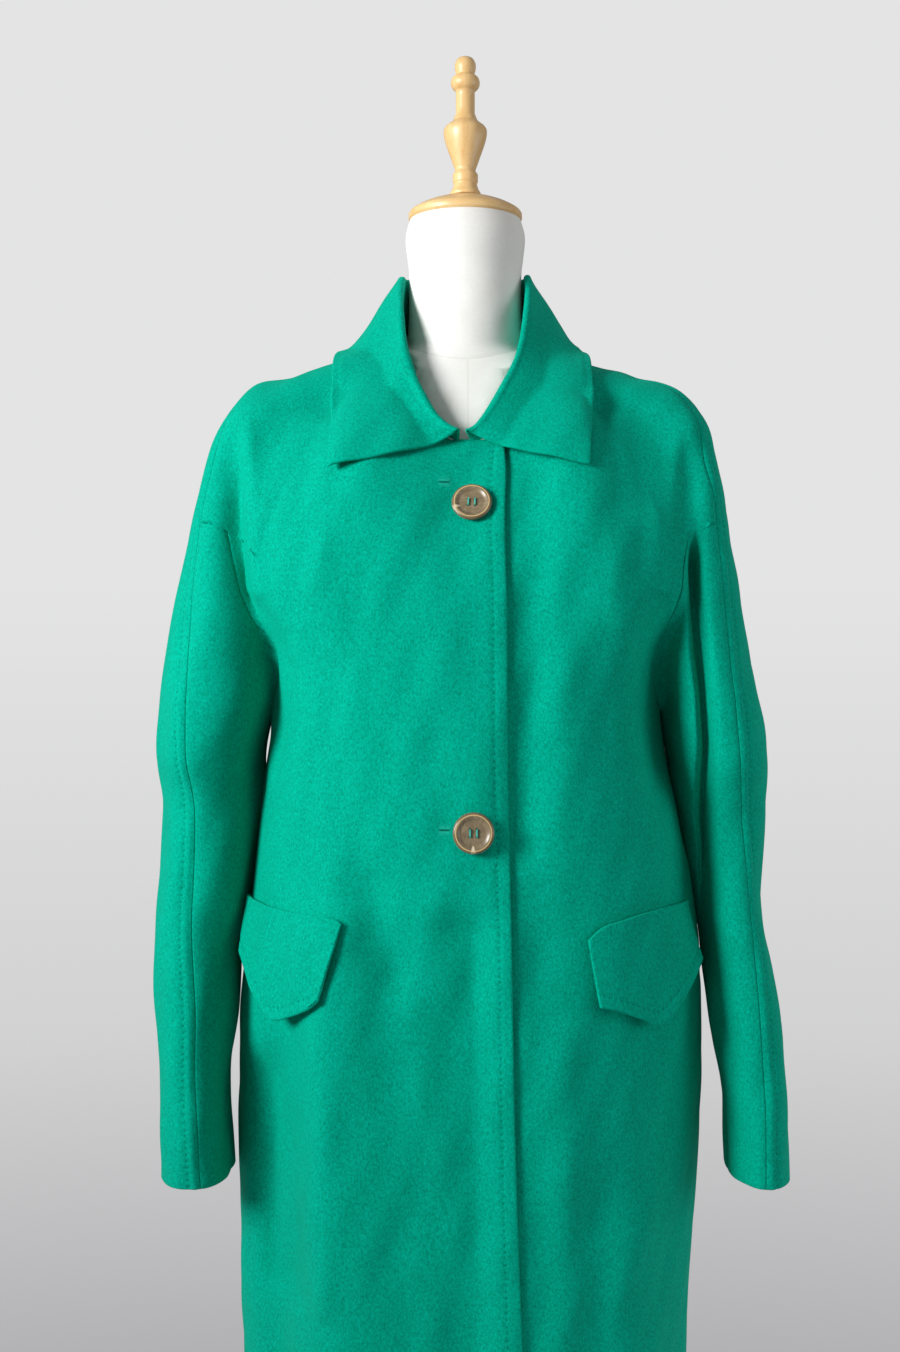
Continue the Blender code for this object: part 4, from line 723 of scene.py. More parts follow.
def waves(p):
    """The height of the waves at points of the cloth."""
    total = np.zeros(p.shape[:-1])
    for height, x, y, z, phase in WAVES:
        total += height * np.sin(2 * math.pi * (p[..., 0] / x + p[..., 1] / y + p[..., 2] / z) + phase)
    return total


# Sharp-sided folds: how far the steep and the soft side reach, which way the steep side faces (1 towards +X),
# the depth, and x, z points down the cloth. The cloth rises a little beyond the steep side.
FRONT_CREASES = (
    (0.0050, 0.020, 1, 0.0050, (-0.2001, 1.3525), (-0.1990, 1.3230), (-0.1952, 1.2980), (-0.1939, 1.2700),
     (-0.1926, 1.2452), (-0.1905, 1.2212), (-0.1879, 1.1964), (-0.1802, 1.1809), (-0.1630, 1.1610),
     (-0.1588, 1.1440), (-0.1615, 1.1150)),
    (0.0060, 0.014, -1, 0.0035, (0.1913, 1.3430), (0.1922, 1.3233), (0.1905, 1.2925), (0.1888, 1.2693),
     (0.1870, 1.2461), (0.1840, 1.2161)),
    (0.0050, 0.0056, -1, 0.0260, (0.1985, 1.2480), (0.1955, 1.2195), (0.1975, 1.1809), (0.2000, 1.1423),
     (0.2040, 1.0994), (0.2058, 1.0650), (0.2078, 1.0145), (0.2105, 0.9280), (0.2135, 0.8420)),
    (0.0120, 0.032, 1, 0.0190, (-0.1500, 0.8950), (-0.1500, 0.8000), (-0.1490, 0.7000), (-0.1450, 0.5800)),
    (0.0150, 0.042, 1, 0.0110, (0.0030, 0.9400), (0.0040, 0.8000), (0.0060, 0.6000), (0.0100, 0.3000)),
    (0.0190, 0.019, 1, -0.0070, (-0.0540, 0.8800), (-0.0490, 0.7000), (-0.0460, 0.5000), (-0.0450, 0.3000)),
    (0.0180, 0.022, 1, 0.0065, (0.0600, 1.3300), (0.0620, 1.2700), (0.0580, 1.2000), (0.0540, 1.1200),
     (0.0480, 1.0400), (0.0440, 0.9500)),
    (0.0100, 0.012, 1, 0.0030, (-0.2560, 1.0250), (-0.2420, 1.0080), (-0.2290, 0.9840)),
    (0.0100, 0.014, -1, 0.0026, (-0.2600, 0.9700), (-0.2400, 0.9450), (-0.2250, 0.9100)),
    (0.0090, 0.013, 1, 0.0028, (0.2600, 1.0200), (0.2400, 0.9980), (0.2250, 0.9700)),
    (0.0100, 0.014, -1, 0.0030, (0.2620, 0.9050), (0.2450, 0.8850), (0.2320, 0.8550)),
    (0.0100, 0.013, 1, 0.0024, (0.2680, 0.7900), (0.2500, 0.7750), (0.2380, 0.7500)),
    (0.0100, 0.013, 1, 0.0024, (-0.2600, 0.7800), (-0.2400, 0.7600), (-0.2200, 0.7450)),
)
BACK_CREASES = (
    (0.0070, 0.022, 1, 0.0030, (-0.1930, 1.2800), (-0.1860, 1.2200), (-0.1700, 1.1650), (-0.1620, 1.1150)),
    (0.0080, 0.020, -1, 0.0028, (0.1920, 1.2750), (0.1840, 1.2150), (0.1690, 1.1600), (0.1630, 1.1150)),
    (0.0100, 0.014, 1, 0.0028, (-0.2600, 1.0300), (-0.2400, 1.0050), (-0.2280, 0.9750)),
    (0.0100, 0.014, -1, 0.0028, (-0.2580, 0.9400), (-0.2400, 0.9150), (-0.2260, 0.8900)),
    (0.0100, 0.014, 1, 0.0028, (0.2600, 1.0100), (0.2430, 0.9850), (0.2280, 0.9600)),
    (0.0100, 0.014, -1, 0.0028, (0.2600, 0.8700), (0.2450, 0.8500), (0.2340, 0.8200)),
    (0.0110, 0.018, 1, 0.0030, (-0.0600, 1.0600), (-0.0300, 1.0350), (0.0150, 1.0280), (0.0500, 1.0400)),
)
CREASE_FADE = 0.035  # a crease fades over this length at both ends


def crease_depth(creases, x, z):
    """How far the creases press the cloth in at each x, z."""
    point = np.stack([x, z], -1)
    total = np.zeros(len(point))
    for steep, soft, faces, depth, *line in creases:
        line = spaced([(px, 0, pz) for px, pz in line], 24)[:, ::2]
        run = along(line)
        best, off, at = np.full(len(point), np.inf), np.zeros(len(point)), np.zeros(len(point))
        for a, b, start in zip(line[:-1], line[1:], run):
            length = math.dist(a, b)
            way = (b - a) / length
            t = np.clip((point - a) @ way, 0, length)
            gap = point - a - t[:, None] * way
            away = np.linalg.norm(gap, axis=-1)
            side = np.sign(way[0] * gap[:, 1] - way[1] * gap[:, 0]) * faces
            nearer = away < best
            best = np.where(nearer, away, best)
            off = np.where(nearer, away * side, off)
            at = np.where(nearer, start + t, at)
        fall = np.where(off > 0, dent(off, steep), dent(off, soft))
        if soft > 2 * steep:
            fall -= 0.30 * dent(off - 2.3 * steep, 1.3 * steep)
        ends = ease(0, CREASE_FADE, at) * (1 - ease(run[-1] - CREASE_FADE, run[-1], at))
        total += depth * fall * ends
    return total


# The chest between its dome and the folds beside the arms: depths in mm at |x| .12, .13 ... .20, row by row.
CHEST_X = np.arange(0.12, 0.2001, 0.01)
CHEST_Z = np.array([1.14, 1.16, 1.19, 1.22, 1.25, 1.28, 1.31, 1.34, 1.37])
CHEST_DEPTH = {
    RIGHT: """
        -125 -117 -100 -90 -76 -60 -50 -45 -45
        -135 -130 -124 -118 -104 -80 -66 -60 -60
        -136 -133 -128 -122 -116 -108 -99 -88 -80
        -134 -129 -124 -119 -113 -107 -100 -92 -86
        -124 -120 -116 -111 -107 -102 -96 -89 -83
        -112 -107 -102 -98 -93 -89 -84 -79 -74
        -97 -91 -86 -82 -78 -75 -72.5 -70 -66
        -75 -71 -68 -66 -65 -65 -65 -65 -57
        -51 -52 -52 -51 -50 -48 -45 -41 -25
    """,
    LEFT: """
        -125 -115 -98 -78 -53 -50 -50 -50 -50
        -135 -131 -124 -111 -97 -81 -79 -79 -79
        -136 -132 -127 -121 -115 -108 -100 -91 -82
        -132 -128 -123 -117 -111 -105 -98 -91 -84
        -123 -119 -115 -110 -105 -99 -93 -88 -82
        -112 -107 -102 -97 -91 -86 -81 -77 -73
        -98 -92 -87 -82 -78 -75 -72 -69 -66
        -75 -71 -68 -66 -65 -65 -65 -65 -62
        -52 -51 -51 -50 -50 -49 -47 -40 -18
    """,
}
CHEST_EDGE = {  # where the fold beside the arm lies: z and |x|
    RIGHT: ((1.11, 0.1615), (1.144, 0.1610), (1.161, 0.1650), (1.181, 0.1815), (1.196, 0.1880),
            (1.221, 0.1905), (1.245, 0.1926), (1.270, 0.1939), (1.298, 0.1952), (1.323, 0.1990),
            (1.3525, 0.2010)),
    LEFT: ((1.11, 0.1600), (1.144, 0.1700), (1.161, 0.1850), (1.190, 0.1950), (1.221, 0.1965),
           (1.245, 0.1985), (1.3525, 0.2010)),
}
CHEST_SOFT = {RIGHT: 0.005, LEFT: 0.012}  # over this width the chest falls to the arm
CHEST_ROUND = 0.003


def chest_filled(p):
    """The cloth carried straight from the chest to the fold beside the arm."""
    flat = p.reshape(-1, 3).copy()
    for side in (RIGHT, LEFT):
        out, z = side * flat[:, 0], flat[:, 2]
        near = (out > 0.10) & (out < 0.21) & (z > 1.14) & (z < 1.37) & (flat[:, 1] < -0.02)
        x, z, y = np.clip(out[near], 0.12, 0.1999), z[near], flat[near, 1]
        column = (x - 0.12) / 0.01
        row = np.interp(z, CHEST_Z, np.arange(len(CHEST_Z)))
        i, j = np.minimum(row.astype(int), len(CHEST_Z) - 2), np.minimum(column.astype(int), len(CHEST_X) - 2)
        u, v = row - i, column - j
        depth = numbers(CHEST_DEPTH[side]) / 1000
        low = depth[i, j] * (1 - v) + depth[i, j + 1] * v
        high = depth[i + 1, j] * (1 - v) + depth[i + 1, j + 1] * v
        fall = y - (low * (1 - u) + high * u)
        fill = 0.5 * (fall + np.sqrt(fall**2 + CHEST_ROUND**2))
        edge = np.interp(z, *zip(*CHEST_EDGE[side]))
        share = 1 - ease(edge - CHEST_SOFT[side] / 2, edge + CHEST_SOFT[side] / 2, out[near])
        share = share * ease(0.10, 0.13, out[near]) * ease(1.14, 1.17, z) * (1 - ease(1.34, 1.37, z))
        flat[near, 1] -= fill * share
    return flat.reshape(p.shape)


ARM_CLOSE = {RIGHT: (0.0065, 0.88, 1.145), LEFT: (0.0060, 0.88, 1.11)}  # how far, from which height to which


def beside_body(p):
    """The sleeves' inner sides brought in until they touch the coat's sides."""
    p = p.copy()
    for side, (near, low, high) in ARM_CLOSE.items():
        out, z = side * p[..., 0], p[..., 2]
        share = (1 - ease(0.195, 0.225, out)) * ease(low, low + 0.04, z) * (1 - ease(high - 0.05, high, z))
        p[..., 0] -= side * near * np.where(out > 0, share, 0)
    return p


def creased(p):
    """The cloth with its chest filled out and its creases pressed in, at the front and at the back."""
    p = chest_filled(p)
    flat = p.reshape(-1, 3)
    for sign, creases in ((-1, FRONT_CREASES), (1, BACK_CREASES)):
        share = ease(0.0, 0.04, sign * flat[:, 1])
        near = share > 0
        flat[near, 1] -= sign * share[near] * crease_depth(creases, flat[near, 0], flat[near, 2])
    return p


def cloth_wall(grid, normal, rims, thickness=CLOTH, lift=0.0):
    """Outer and inner points of a patch of cloth, and how far out its rim bulges, with its edges rounded.

    rims go bottom, top, left, right: how far each edge is rounded over.
    """
    moved = grid.copy()
    bulge = np.zeros_like(grid)
    all_rows = np.s_[:]
    edges = ((0, 1), (-1, -2), ((all_rows, 0), (all_rows, 1)), ((all_rows, -1), (all_rows, -2)))
    for (edge, next_in), rim in zip(edges, rims):
        line = grid[edge]
        direction = np.cross(normal[edge], np.gradient(line, axis=0))
        direction /= np.linalg.norm(direction, axis=1, keepdims=True)
        direction *= np.sign(((grid[next_in] - line) * direction).sum())
        moved[edge] += rim * direction
        bulge[edge] -= rim * direction
    outer = moved + np.broadcast_to(lift, grid.shape[:2])[..., None] * normal
    return outer, outer - thickness * normal, bulge


CLOTH_OBJECTS = {}


def cloth_piece(name, outer, inner, bulge, lines=()):
    """A closed mesh through a patch's outer and inner points and its rounded rim, with its stitch lines."""
    rows, columns = outer.shape[:2]
    count = rows * columns
    number = np.arange(count).reshape(rows, columns)
    a, b, c, d = (
        part.ravel() for part in (number[:-1, :-1], number[:-1, 1:], number[1:, 1:], number[1:, :-1])
    )
    quads = [np.stack([a, b, c, d], -1), np.stack([a, d, c, b], -1) + count]
    rim = np.concatenate([number[0, :-1], number[:-1, -1], number[-1, :0:-1], number[:0:-1, 0]])
    flat_outer, flat_inner, flat_bulge = outer.reshape(-1, 3), inner.reshape(-1, 3), bulge.reshape(-1, 3)
    middle, half = (flat_outer + flat_inner)[rim] / 2, (flat_outer - flat_inner)[rim] / 2
    points = [flat_outer, flat_inner]
    rings = [rim]
    for k in range(1, RIM_STEPS):
        turn = math.pi / 2 - math.pi * k / RIM_STEPS
        points.append(middle + half * math.sin(turn) + flat_bulge[rim] * math.cos(turn))
        rings.append(2 * count + (k - 1) * len(rim) + np.arange(len(rim)))
    rings.append(rim + count)
    for near, far in zip(rings[:-1], rings[1:]):
        quads.append(np.stack([near, far, np.roll(far, -1), np.roll(near, -1)], -1))
    points = np.concatenate(points)
    quads = np.concatenate(quads)
    corners = points[quads]
    volume = np.einsum("ij,ij->i", corners[:, 0], np.cross(corners[:, 1], corners[:, 2])).sum()
    volume += np.einsum("ij,ij->i", corners[:, 0], np.cross(corners[:, 2], corners[:, 3])).sum()
    if volume < 0:
        quads = quads[:, ::-1]
    mesh = bpy.data.meshes.new(name)
    mesh.vertices.add(len(points))
    mesh.vertices.foreach_set("co", points.astype(np.float32).ravel())
    mesh.loops.add(quads.size)
    mesh.loops.foreach_set("vertex_index", quads.astype(np.int32).ravel())
    mesh.polygons.add(len(quads))
    mesh.polygons.foreach_set("loop_start", np.arange(0, quads.size, 4, dtype=np.int32))
    mesh.update(calc_edges=True)
    mesh.polygons.foreach_set("use_smooth", [True] * len(quads))
    for key, (run, off) in zip("ab", lines):
        for kind, values in (("run", run), ("off", off)):
            own = np.full(len(points), 1.0)
            own[:count] = np.broadcast_to(values, (rows, columns)).ravel()
            attribute = mesh.attributes.new(f"{kind}_{key}", "FLOAT", "POINT")
            attribute.data.foreach_set("value", own.astype(np.float32))
    mesh.validate()
    piece = bpy.data.objects.new(name, mesh)
    bpy.context.scene.collection.objects.link(piece)
    CLOTH_OBJECTS[name] = piece
    return piece


FRONTS = {side: front_grid(side) for side in (RIGHT, LEFT)}
BACK = back_grid()
SLEEVES = {side: sleeve_grids(side) for side in (RIGHT, LEFT)}
BODY_BREAK = SIDE_ROWS - 1
FRONT_BREAKS = (BODY_BREAK, BODY_BREAK + ARMHOLE_ROWS - 1)
SLEEVE_BREAK = SLEEVE_ROWS - 1
FRONT_NEAR = (0.0036, 0.0065, 0.0090, 0.0110, 0.0130, 0.0150, 0.0175)  # columns beside the front edge
SLEEVE_NEAR = (0.002, 0.004, 0.006, 0.008, 0.0095, 0.011, 0.0125, 0.0145, 0.017)  # and behind the sleeve's seam
SEAM_DIP, SEAM_DIP_WIDTH = 0.0006, 0.004  # the cloth dips this much along a seam, over this width
ROW_WIDTH = 0.0022  # of the groove under a row of stitches
EDGE_STITCH = 0.0125  # from the front edge to the row of stitches beside it
SEAM_STITCH = 0.0105  # from the long sleeve seam to the row behind it

TOP_EDGE_Z, TOP_CORNER_X, TOP_CORNER_DROP = 1.3236, 0.0245, 0.0055
TOP_EDGE_BLEND = 0.03  # the cloth below the top edge follows it this far down


def with_top_edge(grid):
    """The right front with its top edge straight and level as far as its rounded corner."""
    x, z = grid[-1, :, 0], grid[-1, :, 2]
    corner = np.clip((x - TOP_CORNER_X) / 0.0062, 0, 1) ** 2
    free = 1 - ease(0.006, 0.016, -x)
    target = grid[-1].copy()
    target[:, 2] += free * (TOP_EDGE_Z - TOP_CORNER_DROP * corner - z)
    wanted = target[:, 2].copy()
    for _ in range(8):
        target = settle(target, "body", steps=1)
        target[:, 2] = wanted
    down = upward(grid, from_end=True)
    share = (1 - ease(0, TOP_EDGE_BLEND, down))[..., None]
    return grid + share * (target - grid[-1])


for side in (RIGHT, LEFT):
    fine = finer(FRONTS[side], "body", FRONT_BREAKS, seams=("right",), near=FRONT_NEAR)
    if side == RIGHT:
        fine = with_top_edge(fine)
    normal = normals_at(fine, "body")
    lift = waves(fine)
    from_edge, from_top = across(fine), upward(fine, from_end=True)
    to_seam = across(fine, from_end=True)
    height = fine[..., 2]
    lift -= SEAM_DIP * dent(to_seam, SEAM_DIP_WIDTH)
    lift -= 0.0005 * dent(from_edge - EDGE_STITCH, ROW_WIDTH)
    sunk = lap_depth(fine) if side == LEFT else 0.0
    rims = (EDGE_ROUND, SEAM_ROUND, EDGE_ROUND, SEAM_ROUND)
    faces = cloth_wall(creased(fine), normal, rims, lift=lift - sunk)
    lines = [(height, from_edge - EDGE_STITCH)]
    cloth_piece(f"cloth_front_{SIDE_NAME[side]}", *faces, lines)

fine = finer(BACK, "body", (BODY_BREAK,))
normal = normals_at(fine, "body")
lift = waves(fine)
lift -= SEAM_DIP * dent(across(fine), SEAM_DIP_WIDTH) + SEAM_DIP * dent(across(fine, True), SEAM_DIP_WIDTH)
rims = (EDGE_ROUND, SEAM_ROUND, SEAM_ROUND, SEAM_ROUND)
cloth_piece("cloth_back", *cloth_wall(creased(fine), normal, rims, lift=lift))

for side in (RIGHT, LEFT):
    for kind, grid in zip(("front", "back"), SLEEVES[side]):
        breaks = () if kind == "front" else (SLEEVE_BREAK,)
        near, step = ((), STEP / 2) if kind == "front" else (SLEEVE_NEAR, STEP)
        fine = finer(grid, "sleeve", breaks, near=near, step=step)
        normal = normals_at(fine, "sleeve")
        lift = waves(fine)
        to_seam = across(fine)
        low = np.maximum(dent(to_seam, SEAM_DIP_WIDTH), dent(across(fine, True), SEAM_DIP_WIDTH))
        lines = []
        if kind == "back":
            run = along(fine[:, 0])[:, None]
            lift += 0.0006 * dent(to_seam - 0.005, 0.003) - 0.0007 * dent(to_seam - SEAM_STITCH, ROW_WIDTH)
            lines = [(run, to_seam - SEAM_STITCH)]
        else:
            low = np.maximum(low, dent(upward(fine, True), SEAM_DIP_WIDTH))
        lift -= SEAM_DIP * low
        rims = (EDGE_ROUND, SEAM_ROUND, SEAM_ROUND, SEAM_ROUND)
        faces = cloth_wall(creased(beside_body(fine)), normal, rims, lift=lift)
        cloth_piece(f"cloth_sleeve_{kind}_{SIDE_NAME[side]}", *faces, lines)


# From the middle of the front to the middle of the back: the roll, the leaf's middle and its free edge.
COLLAR_COLUMNS = "at roll_x roll_y roll_z mid_x mid_y mid_z edge_x edge_y edge_z"
COLLAR = {
    RIGHT: """
        0.00 -0.0080 -0.1000 1.3296 -0.0560 -0.1010 1.3052 -0.1120 -0.1050 1.2910
        0.08 -0.0175 -0.0970 1.3352 -0.0640 -0.0960 1.3180 -0.1136 -0.0980 1.3110
        0.18 -0.0290 -0.0920 1.3475 -0.0750 -0.0850 1.3400 -0.1145 -0.0870 1.3360
        0.30 -0.0410 -0.0830 1.3690 -0.0850 -0.0700 1.3650 -0.1160 -0.0680 1.3620
        0.42 -0.0530 -0.0680 1.4000 -0.0880 -0.0480 1.3920 -0.1160 -0.0420 1.3870
        0.54 -0.0578 -0.0440 1.4430 -0.0870 -0.0220 1.4250 -0.1130 -0.0120 1.4030
        0.66 -0.0580 -0.0100 1.4770 -0.0850 0.0120 1.4420 -0.1050 0.0270 1.4080
        0.78 -0.0525 0.0260 1.4850 -0.0720 0.0480 1.4480 -0.0870 0.0660 1.4080
        0.90 -0.0300 0.0520 1.4880 -0.0420 0.0740 1.4480 -0.0500 0.0920 1.4060
        1.00 0.0000 0.0610 1.4890 0.0000 0.0830 1.4480 0.0000 0.1010 1.4050
    """,
    LEFT: """
        0.00 0.0010 -0.1000 1.3298 0.0500 -0.1010 1.3065 0.1000 -0.1050 1.2920
        0.08 0.0090 -0.0980 1.3350 0.0560 -0.0960 1.3220 0.1028 -0.0980 1.3150
        0.18 0.0200 -0.0920 1.3500 0.0660 -0.0850 1.3440 0.1062 -0.0870 1.3390
        0.30 0.0330 -0.0820 1.3740 0.0760 -0.0700 1.3690 0.1100 -0.0670 1.3660
        0.42 0.0455 -0.0680 1.4020 0.0800 -0.0480 1.3950 0.1100 -0.0420 1.3890
        0.54 0.0540 -0.0440 1.4430 0.0820 -0.0220 1.4240 0.1080 -0.0120 1.4040
        0.66 0.0565 -0.0100 1.4790 0.0830 0.0120 1.4420 0.1030 0.0270 1.4080
        0.78 0.0515 0.0260 1.4860 0.0710 0.0480 1.4480 0.0860 0.0660 1.4080
        0.90 0.0300 0.0520 1.4880 0.0420 0.0740 1.4480 0.0500 0.0920 1.4060
        1.00 0.0000 0.0610 1.4890 0.0000 0.0830 1.4480 0.0000 0.1010 1.4050
    """,
}


ROLL_RADIUS = 0.0027  # of the fold's middle surface
SIDE_THINNER = 0.0009  # and this much less beside and behind the neck
COLLAR_START = {RIGHT: (-0.0070, -0.0880, 1.3211), LEFT: (0.0035, -0.0880, 1.3211)}  # of its neck seam
COLLAR_GAP = 0.0023  # between the collar and the neck edges that it is sewn to
LEAF_CLEAR = 0.0024  # the leaf's underside above the coat, at least
STAND_LEAN = 0.003  # the stand leans in this far before it turns up
COLLAR_STATIONS = 74  # on each side
STAND_POINTS, TURN_POINTS, LEAF_POINTS = 8, 7, 26
LEAF_LIFT = 0.0026  # how much further its free edge stands off the coat
COLLAR_STITCH = 0.010  # from the leaf's edges to its row of stitches


def neckline(side, count):
    """The collar's seam with the coat, from the middle of the front to the middle of the back."""
    front = FRONTS[side][-1]
    start = np.array(level_point(COLLAR_START[side]))
    past = side * (front[:, 0] - start[0]) > 0.006
    points = [start, *front[past][:-1], *SLEEVES[side][1][-1][:-1]]
    middle = BACK_COLUMNS // 2
    back = BACK[-1] if side == RIGHT else BACK[-1][::-1]
    points += [*back[:middle], (0.0, *NECK_MIDDLE_BACK[1:])]
    return seam(points, "body", count)


def roll_section(foot, rise, roll, leafward, mid, edge, radius):
    """One section of the collar's middle surface, from the seam over the roll to the free edge."""
    up = roll - foot
    height = np.linalg.norm(up)
    up = up / height
    side = leafward - (leafward @ up) * up
    side /= np.linalg.norm(side)
    inner = roll - up * radius - side * radius
    outer = roll - up * radius + side * radius
    pull = foot + rise * STAND_LEAN + up * np.linalg.norm(inner - foot) * 0.3
    t = np.linspace(0, 1, STAND_POINTS)[:, None]
    stand = (1 - t) ** 2 * foot + 2 * t * (1 - t) * pull + t * t * inner
    turn = np.linspace(0, math.pi, TURN_POINTS + 2)[1:-1, None]
    bend = roll - up * radius + radius * (np.sin(turn) * up - np.cos(turn) * side)
    t = np.linspace(0, 1, LEAF_POINTS)[:, None]
    leaf = (1 - t) * (1 - 2 * t) * outer + 4 * t * (1 - t) * mid + t * (2 * t - 1) * edge
    return np.concatenate([stand, bend, leaf])


def collar_half(side):
    """Section lines of one half of the collar: its seam, stand, roll and leaf, front to back."""
    rows = table(COLLAR_COLUMNS, COLLAR[side])
    at = np.linspace(0, 1, COLLAR_STATIONS)
    place = {
        name: np.stack([read(rows, f"{name}_{axis}", at) for axis in "xyz"], -1)
        for name in ("roll", "mid", "edge")
    }
    base = neckline(side, COLLAR_STATIONS)
    normal = normals_at(base, "body")
    into_neck = np.cross(normal, np.gradient(base, axis=0))
    into_neck /= np.linalg.norm(into_neck, axis=1, keepdims=True)
    into_neck *= np.sign((into_neck * (place["roll"] - base)).sum(-1, keepdims=True))
    foot = base - normal * CLOTH / 2 + into_neck * COLLAR_GAP
    sections = []
    for i in range(COLLAR_STATIONS):
        roll, mid, edge = (place[name][i] for name in ("roll", "mid", "edge"))
        leafward = (mid - roll) / np.linalg.norm(mid - roll)
        radius = ROLL_RADIUS - SIDE_THINNER * float(ease(0.3, 0.55, at[i]))
        sections.append(roll_section(foot[i], into_neck[i], roll, leafward, mid, edge, radius))
    return np.array(sections)


def surface_normals(grid):
    """Unit normals of a grid of points, from its own neighbours."""
    normal = np.cross(np.gradient(grid, axis=1), np.gradient(grid, axis=0))
    return normal / np.linalg.norm(normal, axis=-1, keepdims=True)


right, left = collar_half(RIGHT), collar_half(LEFT)
collar = np.concatenate([right, left[::-1][1:]])
first = STAND_POINTS + TURN_POINTS
leaf = collar[:, first:]
height = coat_field(leaf.reshape(-1, 3), "body").reshape(leaf.shape[:2])
height = np.maximum(height, LEAF_CLEAR + COLLAR_CLOTH / 2)
height += LEAF_LIFT * np.linspace(0, 1, LEAF_POINTS) ** 2
collar[:, first:] = settle(leaf, "body", height, steps=5)
normal = surface_normals(collar)
from_leaf_edge = across(collar, from_end=True)
from_ends = np.minimum(upward(collar), upward(collar, True))
run_low = along(collar[:, -1])[:, None]
inside = (from_leaf_edge > COLLAR_STITCH - 0.002) & (np.arange(collar.shape[1]) >= first)
groove = 0.0005 * dent(from_leaf_edge - COLLAR_STITCH, ROW_WIDTH) * (from_ends > COLLAR_STITCH - 0.002)
groove += 0.0005 * dent(from_ends - COLLAR_STITCH, ROW_WIDTH) * inside
shift = (waves(collar) - groove)[..., None] * normal
rims = (EDGE_ROUND, EDGE_ROUND, SEAM_ROUND, EDGE_ROUND)
faces = cloth_wall(collar + normal * COLLAR_CLOTH / 2 + shift, normal, rims, COLLAR_CLOTH)
low_line = np.where(from_ends > COLLAR_STITCH - 0.001, from_leaf_edge - COLLAR_STITCH, 1.0)
side_line = np.where(inside, from_ends - COLLAR_STITCH, 1.0)
cloth_piece("cloth_collar", *faces, [(run_low, low_line), (from_leaf_edge, side_line)])


# The flap's outline as x, z at its left, middle and right, down from its top seam to its pointed edge.
FLAP_COLUMNS = "across top_x top_z low_x low_z"
FLAPS = {
    RIGHT: table(FLAP_COLUMNS, """
        0.00 -0.1900 0.9270 -0.1850 0.8800
        0.20 -0.1660 0.9245 -0.1715 0.8500
        0.36 -0.1480 0.9225 -0.1560 0.8330
        0.60 -0.1240 0.9200 -0.1360 0.8375
        0.80 -0.1080 0.9175 -0.1210 0.8450
        1.00 -0.1010 0.9135 -0.1120 0.8540
    """),
    LEFT: table(FLAP_COLUMNS, """
        0.00 0.1900 0.9255 0.1930 0.8760
        0.20 0.1680 0.9245 0.1800 0.8560
        0.40 0.1480 0.9220 0.1560 0.8310
        0.60 0.1280 0.9180 0.1400 0.8360
        0.80 0.1100 0.9130 0.1220 0.8440
        1.00 0.0980 0.9030 0.1050 0.8490
    """),
}
FLAP_CLEAR = {RIGHT: 0.0019, LEFT: 0.0011}  # its underside above the front, along its seam
FLAP_LIFT = 0.0085  # its lower edge above the front
FLAP_STITCH = 0.011  # from the flap's lower edge to its row of stitches


def flap_grid(side, columns=44, rows=40):
    """A flap's middle surface, its first row along the seam that holds it."""
    tab = FLAPS[side]
    over = np.linspace(0, 1, columns)
    down = np.linspace(0, 1, rows)[:, None]
    x = (1 - down) * read(tab, "top_x", over) + down * read(tab, "low_x", over)
    z = (1 - down) * read(tab, "top_z", over) + down * read(tab, "low_z", over)
    front = read(BODY, "front", z.ravel()).reshape(z.shape)
    half = read(BODY, SIDE_NAME[side], z.ravel()).reshape(z.shape)
    y = -front * np.maximum(1 - np.abs(x / half) ** 2.3, 0.02) ** (1 / 2.3)
    level = FLAP_CLOTH / 2 + FLAP_CLEAR[side] + FLAP_LIFT * down**1.5 * np.ones_like(x)
    return settle(np.stack([x, y, z], -1), "body", level)


for side in (RIGHT, LEFT):
    middle = flap_grid(side)
    normal = surface_normals(middle)
    if normal[0, 0, 1] > 0:
        normal = -normal
    low = upward(middle, from_end=True)
    shift = (waves(middle) - 0.0005 * dent(low - FLAP_STITCH, ROW_WIDTH))[..., None] * normal
    grid = middle + normal * FLAP_CLOTH / 2 + shift
    rims = (SEAM_ROUND, EDGE_ROUND, EDGE_ROUND, EDGE_ROUND)
    faces = cloth_wall(grid, normal, rims, FLAP_CLOTH)
    cloth_piece(f"cloth_flap_{SIDE_NAME[side]}", *faces, [(along(middle[-1])[None, :], low - FLAP_STITCH)])


FORM_GAP = 0.0097  # between the coat's inside and the form that it hangs on
FORM_FOOT = 0.78
SHOULDER_BLADE = (0.153, 1.305)  # |x| and z where the coat dips behind the arm
BLADE_HOLLOW = 0.009  # the form is this much lower there

# Horizontal sections of the dress form, before it is drawn in to fit below the coat.
FORM = table("height half front back square", """
        0.780 0.1580 0.1000 0.0960 2.2
        0.840 0.1700 0.1100 0.1080 2.2
        0.920 0.1720 0.1130 0.1120 2.2
        1.000 0.1530 0.1060 0.0980 2.2
        1.070 0.1290 0.1010 0.0860 2.2
        1.140 0.1370 0.1130 0.0920 2.2
        1.200 0.1490 0.1280 0.0990 2.3
        1.260 0.1640 0.1210 0.1030 2.3
        1.310 0.1850 0.0870 0.1010 2.4
        1.345 0.1920 0.0730 0.0930 2.4
        1.370 0.1840 0.0620 0.0840 2.3
        1.388 0.1380 0.0560 0.0720 2.2
        1.400 0.0900 0.0530 0.0640 2.1
        1.412 0.0580 0.0515 0.0560 2.0
        1.425 0.0530 0.0508 0.0525 2.0
        1.440 0.0515 0.0508 0.0510 2.0
        1.460 0.0510 0.0508 0.0508 2.0
        1.485 0.0510 0.0508 0.0508 2.0
        1.500 0.0528 0.0528 0.0528 2.0
        1.518 0.0542 0.0542 0.0542 2.0
        1.5330 0.0505 0.0505 0.0505 2.0
    """)
